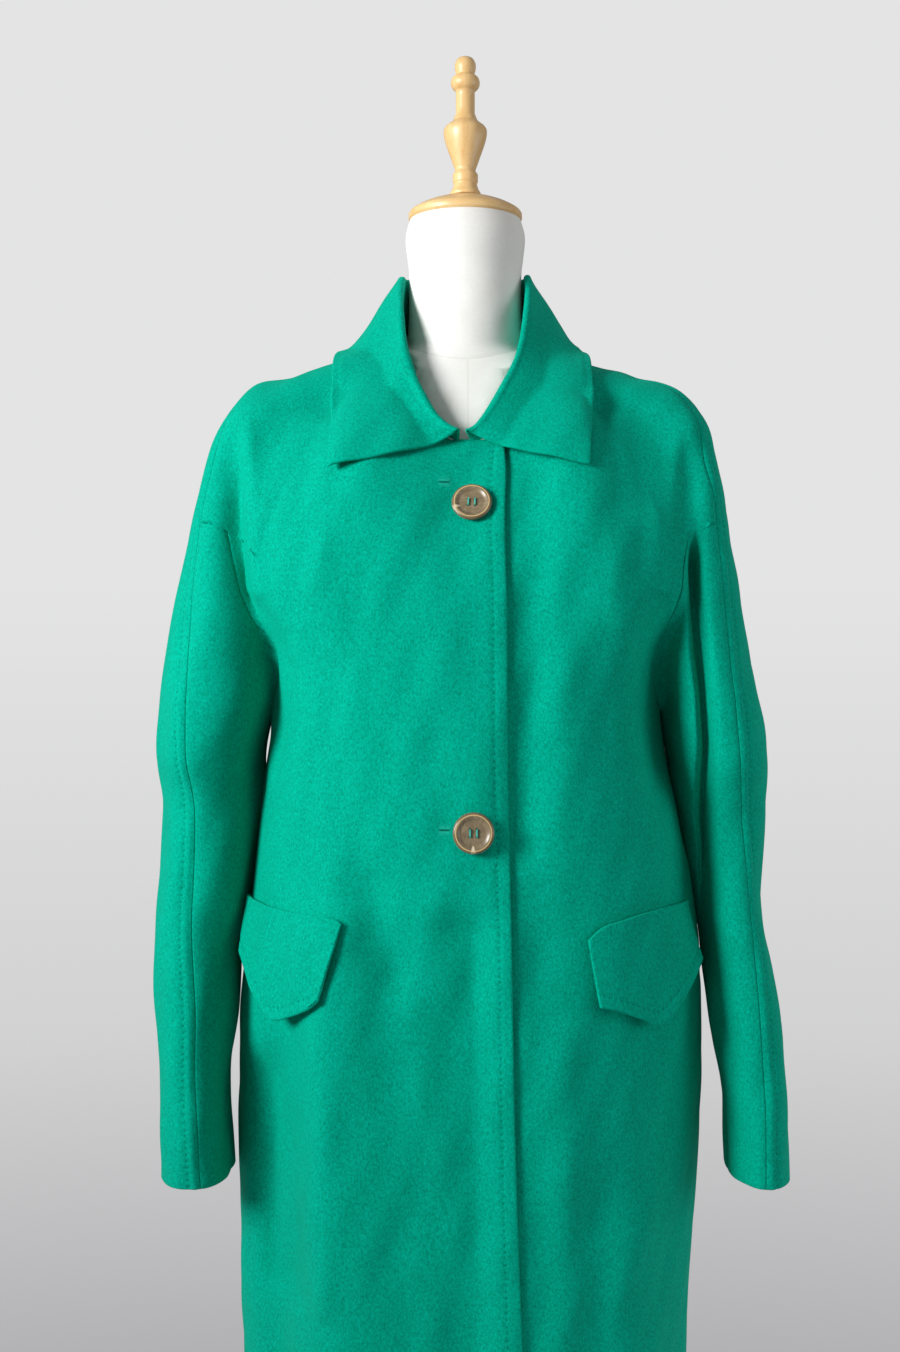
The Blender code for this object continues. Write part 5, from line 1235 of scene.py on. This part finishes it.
FORM_HEIGHTS = np.concatenate(
    [
        np.linspace(FORM_FOOT, 1.30, 11),
        (1.325, 1.345, 1.362, 1.375, 1.386, 1.395, 1.403, 1.411, 1.419, 1.428, 1.440, 1.456),
        (1.475, 1.500, 1.518, 1.5330),
    ]
)


def ring(half, front, back, square, height, sides):
    """Points round a horizontal section with the given half width and depths."""
    turn = np.linspace(0, 2 * math.pi, sides, endpoint=False)
    c, s = np.cos(turn), np.sin(turn)
    x = half * np.sign(c) * np.abs(c) ** (2 / square)
    y = np.where(s < 0, front, back) * np.sign(s) * np.abs(s) ** (2 / square)
    return np.stack([x, y, np.full(sides, height)], -1)


def form_rings(heights, sides):
    """The dress form's sections, kept inside the coat."""
    names = ("half", "front", "back", "square")
    rings = np.array([ring(*(float(read(FORM, n, z)) for n in names), z, sides) for z in heights])
    under_coat = heights < 1.43
    flat = rings[under_coat].reshape(-1, 3)
    lap = (CLOTH + LAP_GAP) * (1 - ease(0.050, 0.085, np.abs(flat[:, 0]))) * (flat[:, 1] < 0)
    opening = (flat[:, 0] / 0.065) ** 2 + ((flat[:, 1] + 0.0145) / 0.0805) ** 2
    deepest = -(CLOTH + FORM_GAP + lap) + 0.5 * np.maximum(0.72 - opening, 0)
    height = coat_field(flat, "body")
    outside = height > deepest
    flat[outside] = settle(flat[outside], "body", deepest[outside])
    off = np.hypot(np.abs(flat[:, 0]) - SHOULDER_BLADE[0], flat[:, 2] - SHOULDER_BLADE[1])
    flat[:, 1] -= BLADE_HOLLOW * (1 - ease(0.012, 0.040, off)) * (flat[:, 1] > 0)
    rings[under_coat] = flat.reshape(-1, sides, 3)
    return rings


NECK_SEAM_Z, NECK_SEAM_RISE = 1.3990, 5.4  # the seam between neck and body, and how it rises to the sides
MIDDLE_SEAM_X = 0.0018
FORM_STEPS = np.concatenate(
    [
        np.arange(FORM_FOOT, 1.39, 0.01),
        np.arange(1.39, 1.424, 0.0012),
        np.arange(1.424, 1.533, 0.004),
        [1.533],
    ]
)


def neck_seam(x):
    """The height of the neck seam at x."""
    return NECK_SEAM_Z + NECK_SEAM_RISE * x * x


def mesh_object(name, points, faces):
    """A smooth closed mesh object, its faces made to look outward."""
    mesh = bpy.data.meshes.new(name)
    mesh.from_pydata([tuple(map(float, p)) for p in points], [], faces)
    work = bmesh.new()
    work.from_mesh(mesh)
    bmesh.ops.recalc_face_normals(work, faces=work.faces)
    work.to_mesh(mesh)
    work.free()
    mesh.polygons.foreach_set("use_smooth", [True] * len(mesh.polygons))
    piece = bpy.data.objects.new(name, mesh)
    bpy.context.scene.collection.objects.link(piece)
    return piece


def lofted(name, rings):
    """A solid through closed rings of the same count, from the bottom up."""
    count, sides = rings.shape[:2]
    foot, head = rings[0].mean(0), rings[-1].mean(0)
    points = [*rings.reshape(-1, 3), foot, head]
    faces = []
    for i in range(sides):
        j = (i + 1) % sides
        faces.append([count * sides, j, i])
        faces.append([count * sides + 1, (count - 1) * sides + i, (count - 1) * sides + j])
        for r in range(count - 1):
            faces.append([r * sides + i, r * sides + j, (r + 1) * sides + j, (r + 1) * sides + i])
    return mesh_object(name, points, faces)


rings = form_rings(FORM_STEPS, 128)
x, y, z = np.moveaxis(rings, -1, 0)
pressed = 0.0007 * dent(z - neck_seam(x), 0.0011)
pressed += 0.0005 * dent(x - MIDDLE_SEAM_X, 0.0011) * (y < 0) * (z < neck_seam(x))
rings[..., :2] *= (1 - pressed / np.hypot(x, y))[..., None]
form = lofted("form_cover", rings)


def rounded(profile, radius=0.0006, steps=3):
    """The profile with each of its corners cut into a short curve."""
    points = [np.array(profile[0], float)]
    for a, b, c in zip(profile[:-2], profile[1:-1], profile[2:]):
        a, b, c = (np.array(p, float) for p in (a, b, c))
        reach = min(radius, 0.4 * math.dist(a, b), 0.4 * math.dist(b, c))
        first = b + (a - b) / math.dist(a, b) * reach
        last = b + (c - b) / math.dist(b, c) * reach
        for t in np.linspace(0, 1, steps + 1):
            points.append((1 - t) ** 2 * first + 2 * t * (1 - t) * b + t * t * last)
    return [*points, np.array(profile[-1], float)]


def turned(name, profile, sides=96, place=Matrix()):
    """A profile of radius and height turned about its own axis, from its top to its foot."""
    rings, points, faces = [], [], []
    for radius, height in profile:
        if radius < 1e-6:
            rings.append([len(points)])
            points.append(place @ Vector((0, 0, height)))
            continue
        rings.append(list(range(len(points), len(points) + sides)))
        for i in range(sides):
            turn = 2 * math.pi * i / sides
            points.append(place @ Vector((radius * math.cos(turn), radius * math.sin(turn), height)))
    for upper, lower in zip(rings[:-1], rings[1:]):
        for i in range(sides):
            j = (i + 1) % sides
            if len(upper) == 1:
                faces.append([upper[0], lower[i], lower[j]])
            elif len(lower) == 1:
                faces.append([upper[j], upper[i], lower[0]])
            else:
                faces.append([upper[j], upper[i], lower[i], lower[j]])
    return mesh_object(name, points, faces)


CAP = ((0, 1.5560), (0.0150, 1.5550), (0.0280, 1.5515), (0.0400, 1.5470), (0.0490, 1.5420), (0.0515, 1.5390))
CAP += ((0.0515, 1.5350), (0.0500, 1.53335), (0, 1.53335))
FINIAL = (
    (0, 1.6830),
    (0.0060, 1.6815),
    (0.0092, 1.6770),
    (0.0095, 1.6720),
    (0.0082, 1.6660),
    (0.0118, 1.6635),
    (0.0132, 1.6590),
    (0.0120, 1.6545),
    (0.0086, 1.6510),
    (0.0086, 1.6310),
    (0.0115, 1.6240),
    (0.0178, 1.6190),
    (0.0197, 1.6150),
    (0.0185, 1.6060),
    (0.0130, 1.5900),
    (0.0091, 1.5790),
    (0.0115, 1.5755),
    (0.0115, 1.5690),
    (0.0105, 1.5670),
    (0.0120, 1.5620),
    (0.0141, 1.5585),
    (0.0141, 1.5563),
    (0, 1.5563),
)
BASE_RADIUS, BASE_TOP = 0.185, 0.026
BASE = ((0, BASE_TOP), (0.150, BASE_TOP), (0.172, 0.0235), (BASE_RADIUS, 0.0150))
BASE += ((BASE_RADIUS, 0.0020), (0.183, 0.0), (0, 0.0))
POLE_RADIUS = 0.0135
POLE_TOP, POLE_FOOT = FORM_FOOT - 0.0003, BASE_TOP + 0.0003
POLE = (
    (0, POLE_TOP),
    (0.0420, POLE_TOP),
    (0.0420, POLE_TOP - 0.010),
    (0.0220, POLE_TOP - 0.016),
    (POLE_RADIUS, POLE_TOP - 0.034),
    (POLE_RADIUS, POLE_FOOT + 0.030),
    (0.0220, POLE_FOOT + 0.014),
    (0.0300, POLE_FOOT + 0.006),
    (0.0300, POLE_FOOT),
    (0, POLE_FOOT),
)


def smooth_profile(profile, corners=()):
    """The profile as a smooth curve that turns only at the numbered corners."""
    points = np.array(profile, float)
    at = np.arange(0, len(points) - 1 + 1e-9, 0.25)
    curve = spline(points, at, corners)
    curve[:, 0] = np.maximum(curve[:, 0], 0)
    return curve


cap = turned("cap_turned", smooth_profile(CAP, (1, 5, 6, 7)))
finial = turned("finial_turned", smooth_profile(FINIAL, (4, 8, 9, 10, 11, 15, 16, 17, 18, 19, 20, 21)))
base = turned("base_turned", rounded(BASE, 0.004, 4), 128)
pole = turned("pole_turned", rounded(POLE, 0.004, 4))

# ---------------------------------------------------------------- buttons

BUTTON_RADIUS = 0.0170
BUTTON_BACK = 0.0021  # its underside above the front
BUTTON = (
    (0, 0.0028),
    (0.0098, 0.0029),
    (0.0116, 0.0036),
    (0.0134, 0.0046),
    (0.0152, 0.0047),
    (0.0166, 0.0038),
    (BUTTON_RADIUS, 0.0026),
    (0.0160, 0.0010),
    (0.0120, 0.0),
    (0, 0.0),
)
HOLE_PITCH, HOLE_RADIUS = 0.0028, 0.00115
BUTTONS = {"upper": (0.0033, 1.2850), "lower": (0.0052, 0.9915)}
PATCH_TURN = {"upper": 200.0, "lower": 268.0}  # where each button's pale patch lies, in degrees from its +X


def button_place(x, z):
    """The place of a button on the right front, its own +Z out of the cloth and its +Y up."""
    point = settle(np.array([(x, -0.16, z)]), "body")
    out = Vector(normals_at(point, "body")[0])
    side = Vector((0, 0, 1)).cross(out).normalized()
    up = out.cross(side)
    turn = Matrix((side, up, out)).transposed().to_4x4()
    return Matrix.Translation(Vector(point[0]) + BUTTON_BACK * out) @ turn


def drilled(piece, place):
    """Cuts the four holes through a button."""
    cutters = []
    for sx in (-1, 1):
        for sy in (-1, 1):
            spot = place @ Matrix.Translation((sx * HOLE_PITCH, sy * HOLE_PITCH, 0))
            drill = [(0, 0.008), (HOLE_RADIUS * 1.6, 0.008), (HOLE_RADIUS, 0.0024)]
            drill += [(HOLE_RADIUS, -0.003), (0, -0.003)]
            cutters.append(turned("drill", drill, 20, spot))
    for cutter in cutters:
        step = piece.modifiers.new("hole", "BOOLEAN")
        step.operation, step.solver, step.object = "DIFFERENCE", "EXACT", cutter
    bpy.context.view_layer.update()
    cut = piece.evaluated_get(bpy.context.evaluated_depsgraph_get())
    mesh = bpy.data.meshes.new_from_object(cut)
    piece.modifiers.clear()
    piece.data = mesh
    for cutter in cutters:
        bpy.data.objects.remove(cutter)


# ---------------------------------------------------------------- materials


def material(name, rough, **sockets):
    """A new material and its node tree, with the uniform values set on its shader."""
    made = bpy.data.materials.new(name)
    made.use_nodes = True
    shader = made.node_tree.nodes["Principled BSDF"]
    shader.inputs["Roughness"].default_value = rough
    for socket, value in sockets.items():
        shader.inputs[socket.replace("_", " ")].default_value = value
    return made, made.node_tree


def node(tree, kind, inputs=(), **settings):
    """A node with its settings, its inputs given as values or as other nodes' outputs."""
    made = tree.nodes.new(kind)
    for key, value in settings.items():
        setattr(made, key, value)
    for key, value in dict(inputs).items():
        if isinstance(value, bpy.types.NodeSocket):
            tree.links.new(value, made.inputs[key])
        else:
            made.inputs[key].default_value = value
    return made


def calc(operation, a, b=0.0, c=0.0):
    """A sum with a node's output and one or two more outputs or numbers."""
    return node(a.id_data, "ShaderNodeMath", {0: a, 1: b, 2: c}, operation=operation).outputs[0]


def times(a, b):
    return calc("MULTIPLY", a, b)


def plus(a, b):
    return calc("ADD", a, b)


def minus(a, b):
    return calc("SUBTRACT", a, b)


def over(a, b):
    return calc("DIVIDE", a, b)


def times_plus(a, b, c):
    return calc("MULTIPLY_ADD", a, b, c)


def bell(square):
    """1 where the square is 0, falling off smoothly."""
    return calc("EXPONENT", times(square, -1.0))


def noise(tree, vector, scale, detail=2.0, rough=0.5):
    """Soft noise between 0 and 1."""
    inputs = {"Vector": vector, "Scale": scale, "Detail": detail, "Roughness": rough}
    return node(tree, "ShaderNodeTexNoise", inputs).outputs["Fac"]


def stretched(tree, scale):
    """The place on the object, stretched by scale."""
    place = node(tree, "ShaderNodeTexCoord").outputs["Object"]
    return node(tree, "ShaderNodeMapping", {"Vector": place, "Scale": scale}).outputs[0]


def ramp(tree, fac, *stops):
    """Colours between the stops, by a factor."""
    made = node(tree, "ShaderNodeValToRGB", {"Fac": fac})
    while len(made.color_ramp.elements) < len(stops):
        made.color_ramp.elements.new(0.5)
    for element, (at, colour) in zip(made.color_ramp.elements, stops):
        element.position = at
        element.color = (*colour, 1.0)
    return made.outputs["Color"]


def finished(made, colour, height=None, strength=0.0, distance=0.0):
    """The material with its colour and its relief, the relief's full height in metres."""
    tree = made.node_tree
    shader = tree.nodes["Principled BSDF"]
    tree.links.new(colour, shader.inputs["Base Color"])
    if height is not None:
        relief = {"Height": height, "Strength": strength, "Distance": distance}
        tree.links.new(node(tree, "ShaderNodeBump", relief).outputs[0], shader.inputs["Normal"])
    return made


def mix(tree, fac, a, b, blend="MIX"):
    """Two colours mixed by a factor, given as values or as other nodes' outputs."""
    made = node(tree, "ShaderNodeMix", {"Factor": fac}, data_type="RGBA", blend_type=blend)
    for socket, value in ((6, a), (7, b)):
        if isinstance(value, bpy.types.NodeSocket):
            tree.links.new(value, made.inputs[socket])
        else:
            made.inputs[socket].default_value = (*value, 1.0)
    return made.outputs[2]


STITCH_PITCH, STITCH_WIDTH = 0.0056, 0.0008
WOOL_DARK, WOOL_MID, WOOL_PALE = (0.0, 0.200, 0.128), (0.0, 0.330, 0.218), (0.0, 0.450, 0.315)


def stitch_dents(tree, key):
    """1 in the middle of each stitch of a row, and round it, from the lengths stored on the cloth."""
    run = node(tree, "ShaderNodeAttribute", attribute_name=f"run_{key}").outputs["Fac"]
    off = node(tree, "ShaderNodeAttribute", attribute_name=f"off_{key}").outputs["Fac"]
    wander = times_plus(noise(tree, stretched(tree, (1, 1, 1)), 90.0, 1.0), 0.6, -0.3)
    turn = plus(over(run, STITCH_PITCH), wander)
    saw = calc("ABSOLUTE", minus(calc("FRACT", turn), 0.5))
    found = []
    widths = ((STITCH_WIDTH, STITCH_WIDTH * 1.1), (STITCH_WIDTH * 2, STITCH_WIDTH * 4))
    for along_width, across_width in widths:
        a = calc("POWER", times(saw, STITCH_PITCH / along_width), 2.0)
        b = calc("POWER", over(off, across_width), 2.0)
        found.append(bell(plus(a, b)))
    return found


# The ends of the buttonholes that show beside the buttons: x and z.
BUTTONHOLES = ((-0.0184, 1.2841), (-0.0182, 0.9940))


def buttonhole(tree, x, z, place):
    """1 on the pale stitched bar of a buttonhole, and 1 on its slit, which is painted near black as the shade
    inside the opening.
    """
    u = over(minus(x, place[0]), 0.0050)
    v = over(minus(z, place[1]), 0.0032)
    long = calc("POWER", times(u, u), 3.0)
    wide = times(v, v)
    found = []
    for narrow in (1.0, 14.0):
        found.append(bell(times_plus(wide, narrow, long)))
    return found


def wool(name, stitched, buttonholes=False):
    """Brushed wool: short fibres that lie down the cloth, in clumps, darker between them, with painted shade in
    its stitch holes and buttonhole slits.
    """
    finish = {"Specular_IOR_Level": 0.12, "Sheen_Weight": 0.22, "Sheen_Roughness": 0.45}
    tints = {"Specular_Tint": (0.1, 0.9, 0.7, 1), "Sheen_Tint": (0.02, 0.75, 0.5, 1)}
    made, tree = material(name, 0.88, **finish, **tints)
    fibre = noise(tree, stretched(tree, (1, 1, 0.45)), 1100.0, 3.0, 0.7)
    clump = noise(tree, stretched(tree, (1, 1, 0.7)), 620.0, 3.0, 0.7)
    cloud = noise(tree, stretched(tree, (1, 1, 0.5)), 26.0, 3.0, 0.55)
    both = plus(times(fibre, 0.35), times(clump, 0.65))
    colour = ramp(tree, both, (0.34, WOOL_DARK), (0.50, WOOL_MID), (0.66, WOOL_PALE))
    shade = ramp(tree, cloud, (0.30, (0.93, 0.93, 0.93)), (0.70, (1.0, 1.0, 1.0)))
    colour = mix(tree, 1.0, colour, shade, "MULTIPLY")
    height = times_plus(clump, 0.9, times(fibre, 0.6))
    if stitched:
        rows = zip(stitch_dents(tree, "a"), stitch_dents(tree, "b"))
        holes, puckers = [calc("MAXIMUM", a, b) for a, b in rows]
        # The holes are painted dark green: painted shade in the dents of the stitches.
        colour = mix(tree, times(holes, 0.55), colour, (0.0, 0.10, 0.06))
        height = times_plus(holes, -1.2, height)
        height = times_plus(puckers, -0.9, height)
    if buttonholes:
        point = node(tree, "ShaderNodeTexCoord").outputs["Object"]
        x, _, z = node(tree, "ShaderNodeSeparateXYZ", {0: point}).outputs
        for place in BUTTONHOLES:
            bar, slit = buttonhole(tree, x, z, place)
            colour = mix(tree, times(bar, 0.6), colour, (0.02, 0.500, 0.370))
            # The slit is painted near black: painted shade in the opening.
            colour = mix(tree, times(slit, 0.9), colour, (0.0, 0.030, 0.018))
            height = times_plus(bar, 1.5, times_plus(slit, -3.0, height))
    return finished(made, colour, height, 0.5, 0.0006)


def linen(name):
    """A matte off-white woven cover, its seams sewn round the neck and down the middle."""
    made, tree = material(name, 0.85, Specular_IOR_Level=0.25, Sheen_Weight=0.08, Sheen_Roughness=0.5)
    place = node(tree, "ShaderNodeTexCoord").outputs["Object"]
    x, y, z = node(tree, "ShaderNodeSeparateXYZ", {0: place}).outputs
    threads = noise(tree, stretched(tree, (1.0, 1.0, 0.12)), 2200.0, 2.0, 0.6)
    picks = noise(tree, stretched(tree, (0.15, 0.15, 1.0)), 1900.0, 2.0, 0.6)
    weave = plus(threads, picks)
    soil = noise(tree, stretched(tree, (1, 1, 1)), 14.0, 4.0, 0.6)
    colour = ramp(tree, soil, (0.30, (0.760, 0.750, 0.715)), (0.65, (0.830, 0.825, 0.800)))
    grain = ramp(tree, times(weave, 0.5), (0.35, (0.93, 0.93, 0.92)), (0.62, (1, 1, 1)))
    colour = mix(tree, 1.0, colour, grain, "MULTIPLY")
    seam_z = times_plus(times(x, x), NECK_SEAM_RISE, NECK_SEAM_Z)
    around = over(minus(z, seam_z), 0.0005)
    down = over(minus(x, MIDDLE_SEAM_X), 0.0005)
    lines = [bell(times(line, line)) for line in (around, down)]
    below = calc("LESS_THAN", z, seam_z)
    sewn = calc("MAXIMUM", lines[0], times(lines[1], below))
    colour = mix(tree, times(sewn, 0.28), colour, (0.42, 0.41, 0.38))
    return finished(made, colour, weave, 0.3, 0.0003)


def wood(name, along_axis, rough=0.42):
    """Pale varnished wood, its grain along X or along Z."""
    made, tree = material(name, rough, Specular_IOR_Level=0.45, Coat_Weight=0.25, Coat_Roughness=0.25)
    long = (0.08, 1, 1) if along_axis == "x" else (1, 1, 0.08)
    streaks = noise(tree, stretched(tree, long), 160.0, 4.0, 0.6)
    bands = noise(tree, stretched(tree, long), 32.0, 2.0, 0.5)
    pores = noise(tree, stretched(tree, (long[0] * 0.5, 1, long[2] * 0.5)), 900.0, 2.0, 0.7)
    both = times_plus(streaks, 0.6, times(bands, 0.4))
    browns = (0.32, (0.660, 0.400, 0.155)), (0.50, (0.745, 0.490, 0.215)), (0.68, (0.810, 0.580, 0.290))
    colour = ramp(tree, both, *browns)
    dark = ramp(tree, pores, (0.28, (0.88, 0.85, 0.80)), (0.42, (1, 1, 1)))
    return finished(made, mix(tree, 1.0, colour, dark, "MULTIPLY"), streaks, 0.12, 0.0004)


def dot(vector, way):
    """How far a vector reaches along a way."""
    made = node(vector.id_data, "ShaderNodeVectorMath", {0: vector, 1: way}, operation="DOT_PRODUCT")
    return made.outputs["Value"]


def horn(name, place, patch_turn):
    """Polished brown horn with a gold ring near the rim and a pale patch at the edge."""
    made, tree = material(name, 0.34, Specular_IOR_Level=0.4, Coat_Weight=0.15, Coat_Roughness=0.2)
    point = node(tree, "ShaderNodeTexCoord").outputs["Object"]
    inverse = place.inverted()
    spots = []
    for row in range(2):
        spots.append(plus(dot(point, tuple(inverse[row][:3])), inverse[row][3]))
    local = node(tree, "ShaderNodeCombineXYZ", {0: spots[0], 1: spots[1]}).outputs[0]
    radius = node(tree, "ShaderNodeVectorMath", {0: local}, operation="LENGTH").outputs["Value"]
    c, s = math.cos(math.radians(patch_turn)), math.sin(math.radians(patch_turn))
    toward, aside = dot(local, (c, s, 0)), dot(local, (-s, c, 0))
    grown = node(tree, "ShaderNodeCombineXYZ", {0: times(toward, 0.25), 1: aside}).outputs[0]
    streaks = noise(tree, grown, 700.0, 4.0, 0.6)
    clouds = noise(tree, local, 110.0, 3.0, 0.6)
    both = times_plus(streaks, 0.45, times(clouds, 0.55))
    browns = (0.34, (0.125, 0.090, 0.050)), (0.50, (0.190, 0.145, 0.085)), (0.66, (0.270, 0.215, 0.135))
    colour = ramp(tree, both, *browns)
    rough_edge = times_plus(streaks, 0.004, -0.002)
    wide = plus(calc("ABSOLUTE", aside), rough_edge)
    reach = times(minus(toward, 0.0085), 0.32)
    patch = times(minus(reach, wide), 1800.0)
    patch = node(tree, "ShaderNodeClamp", {0: patch}).outputs[0]
    colour = mix(tree, times(patch, 0.85), colour, (0.700, 0.600, 0.430))
    ring_off = over(minus(radius, 0.0147), 0.00040)
    ring_line = bell(times(ring_off, ring_off))
    colour = mix(tree, times(ring_line, 0.85), colour, (0.720, 0.520, 0.220))
    rim = calc("GREATER_THAN", radius, 0.0152)
    colour = mix(tree, times(rim, 0.6), colour, (0.130, 0.080, 0.045))
    return finished(made, colour, streaks, 0.08, 0.0002)


def thread_material(name):
    """Twisted green thread."""
    made, tree = material(name, 0.6, Specular_IOR_Level=0.3, Sheen_Weight=0.2)
    twist = noise(tree, stretched(tree, (1, 1, 1)), 2600.0, 2.0, 0.6)
    colour = ramp(tree, twist, (0.35, (0.010, 0.260, 0.200)), (0.65, (0.080, 0.520, 0.420)))
    return finished(made, colour, twist, 0.4, 0.0002)


def floor_material(name):
    """A pale, slightly clouded floor."""
    glow = {"Emission_Color": (0.95, 0.95, 1.0, 1.0), "Emission_Strength": 0.25}
    made, tree = material(name, 0.8, Specular_IOR_Level=0.2, **glow)
    cloud = noise(tree, stretched(tree, (1, 1, 1)), 3.0, 3.0, 0.5)
    colour = ramp(tree, cloud, (0.3, (0.70, 0.70, 0.71)), (0.7, (0.75, 0.75, 0.76)))
    return finished(made, colour)


# ---------------------------------------------------------------- the pieces, their finishes and their cloth


def finish_piece(piece, made, nodes):
    """Gives a piece its material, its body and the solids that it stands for."""
    piece.data.materials.clear()
    piece.data.materials.append(made)
    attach(piece, "root")
    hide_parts(*nodes)


wool_stitched, wool_plain = wool("brushed_wool_stitched", True), wool("brushed_wool", False)
wool_buttonholed = wool("brushed_wool_buttonholed", True, buttonholes=True)
CLOTH_CUTS = {  # piece: solid, flat width and length in metres, and what it lies on
    "cloth_front_right": ("front_right", (0.36, 1.00), ["form_cover"]),
    "cloth_front_left": ("front_left", (0.36, 1.00), ["form_cover", "cloth_front_right"]),
    "cloth_back": ("back", (0.60, 1.08), ["form_cover"]),
    "cloth_sleeve_front_right": ("sleeve_front_right", (0.15, 0.58), ["cloth_front_right"]),
    "cloth_sleeve_front_left": ("sleeve_front_left", (0.15, 0.58), ["cloth_front_left"]),
    "cloth_sleeve_back_right": ("sleeve_back_right", (0.32, 0.86), ["form_cover"]),
    "cloth_sleeve_back_left": ("sleeve_back_left", (0.32, 0.86), ["form_cover"]),
    "cloth_collar": ("collar", (0.60, 0.16), ["cloth_front_right", "cloth_front_left", "cloth_back"]),
    "cloth_flap_right": ("pocket_flap_right", (0.105, 0.105), ["cloth_front_right"]),
    "cloth_flap_left": ("pocket_flap_left", (0.105, 0.105), ["cloth_front_left"]),
}
STITCHED = ("front", "sleeve_back", "collar", "flap")
for name, (solid, flat, under) in CLOTH_CUTS.items():
    made = wool_stitched if any(name.startswith(f"cloth_{part}") for part in STITCHED) else wool_plain
    if name == "cloth_front_right":
        made = wool_buttonholed
    finish_piece(CLOTH_OBJECTS[name], made, (solid,))

cover = linen("woven_cover")
upright_wood, flat_wood = wood("turned_wood", "z"), wood("flat_wood", "x")
finish_piece(form, cover, ("form_body",))
finish_piece(cap, flat_wood, ("neck_cap",))
finish_piece(finial, upright_wood, ("finial",))
finish_piece(pole, upright_wood, ("pole",))
finish_piece(base, flat_wood, ("base",))
sewing_thread = thread_material("sewing_thread")
for name, (x, z) in BUTTONS.items():
    place = button_place(x, z)
    piece = turned(f"horn_button_{name}", smooth_profile(BUTTON, (6, 8)), 96, place)
    drilled(piece, place)
    finish_piece(piece, horn(f"horn_{name}", place, PATCH_TURN[name]), (f"button_{name}",))
    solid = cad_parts[f"thread_{name}"]
    for entry in solid.material_slots:
        entry.material = sewing_thread
    if not solid.material_slots:
        solid.data.materials.append(sewing_thread)

# ---------------------------------------------------------------- floor, light and camera

floor = turned("floor", [(0, 0.0), (1.25, 0.0), (1.25, -0.01), (0, -0.01)], 96)
floor.data.materials.append(floor_material("pale_floor"))
floor.location.z = -0.0005

AMBIENT = 0.40  # share of the backdrop's light that falls on the object
# The pale wall from low to high, darker towards the floor as painted shade where the light falls off.
WALL_SHADES = ((0.14, (0.440, 0.435, 0.450)), (0.30, (0.640, 0.640, 0.645)), (0.55, (0.775, 0.775, 0.780)))

world = bpy.data.worlds.new("studio")
bpy.context.scene.world = world
world.use_nodes = True
background = world.node_tree.nodes["Background"]
looking = node(world.node_tree, "ShaderNodeTexCoord").outputs["Generated"]
rising = node(world.node_tree, "ShaderNodeSeparateXYZ", {0: looking}).outputs[2]
# The backdrop's colour by height, with painted shade towards the floor.
wall = ramp(world.node_tree, times_plus(rising, 1.0, 0.5), *WALL_SHADES)
world.node_tree.links.new(wall, background.inputs["Color"])
seen = node(world.node_tree, "ShaderNodeLightPath").outputs["Is Camera Ray"]
strength = times_plus(seen, 1.0 - AMBIENT, AMBIENT)
world.node_tree.links.new(strength, background.inputs["Strength"])


def area_light(name, place, target, size, watts, spread=math.pi):
    """A round soft light aimed at a target."""
    data = bpy.data.lights.new(name, "AREA")
    data.shape = "DISK"
    data.size, data.energy, data.spread = size, watts, spread
    light = bpy.data.objects.new(name, data)
    light.location = place
    light.rotation_euler = (Vector(target) - Vector(place)).to_track_quat("-Z", "Y").to_euler()
    bpy.context.scene.collection.objects.link(light)


area_light("window", (-1.72, -1.30, 1.72), (0.0, 0.0, 1.36), 0.9, 18.5, spread=1.6)
area_light("fill", (2.0, -0.6, 1.2), (0.0, 0.0, 1.1), 1.2, 11.0)

camera = bpy.data.objects.new("camera", bpy.data.cameras.new("camera"))
camera.data.lens, camera.data.sensor_width = 46.6, 36.0
camera.location = (-0.0139, -1.591, 1.12)
camera.rotation_euler = (math.pi / 2, 0.0, 0.0)
camera.data.clip_start = 0.01
bpy.context.scene.collection.objects.link(camera)
bpy.context.scene.camera = camera
bpy.context.scene.view_settings.view_transform = "Standard"
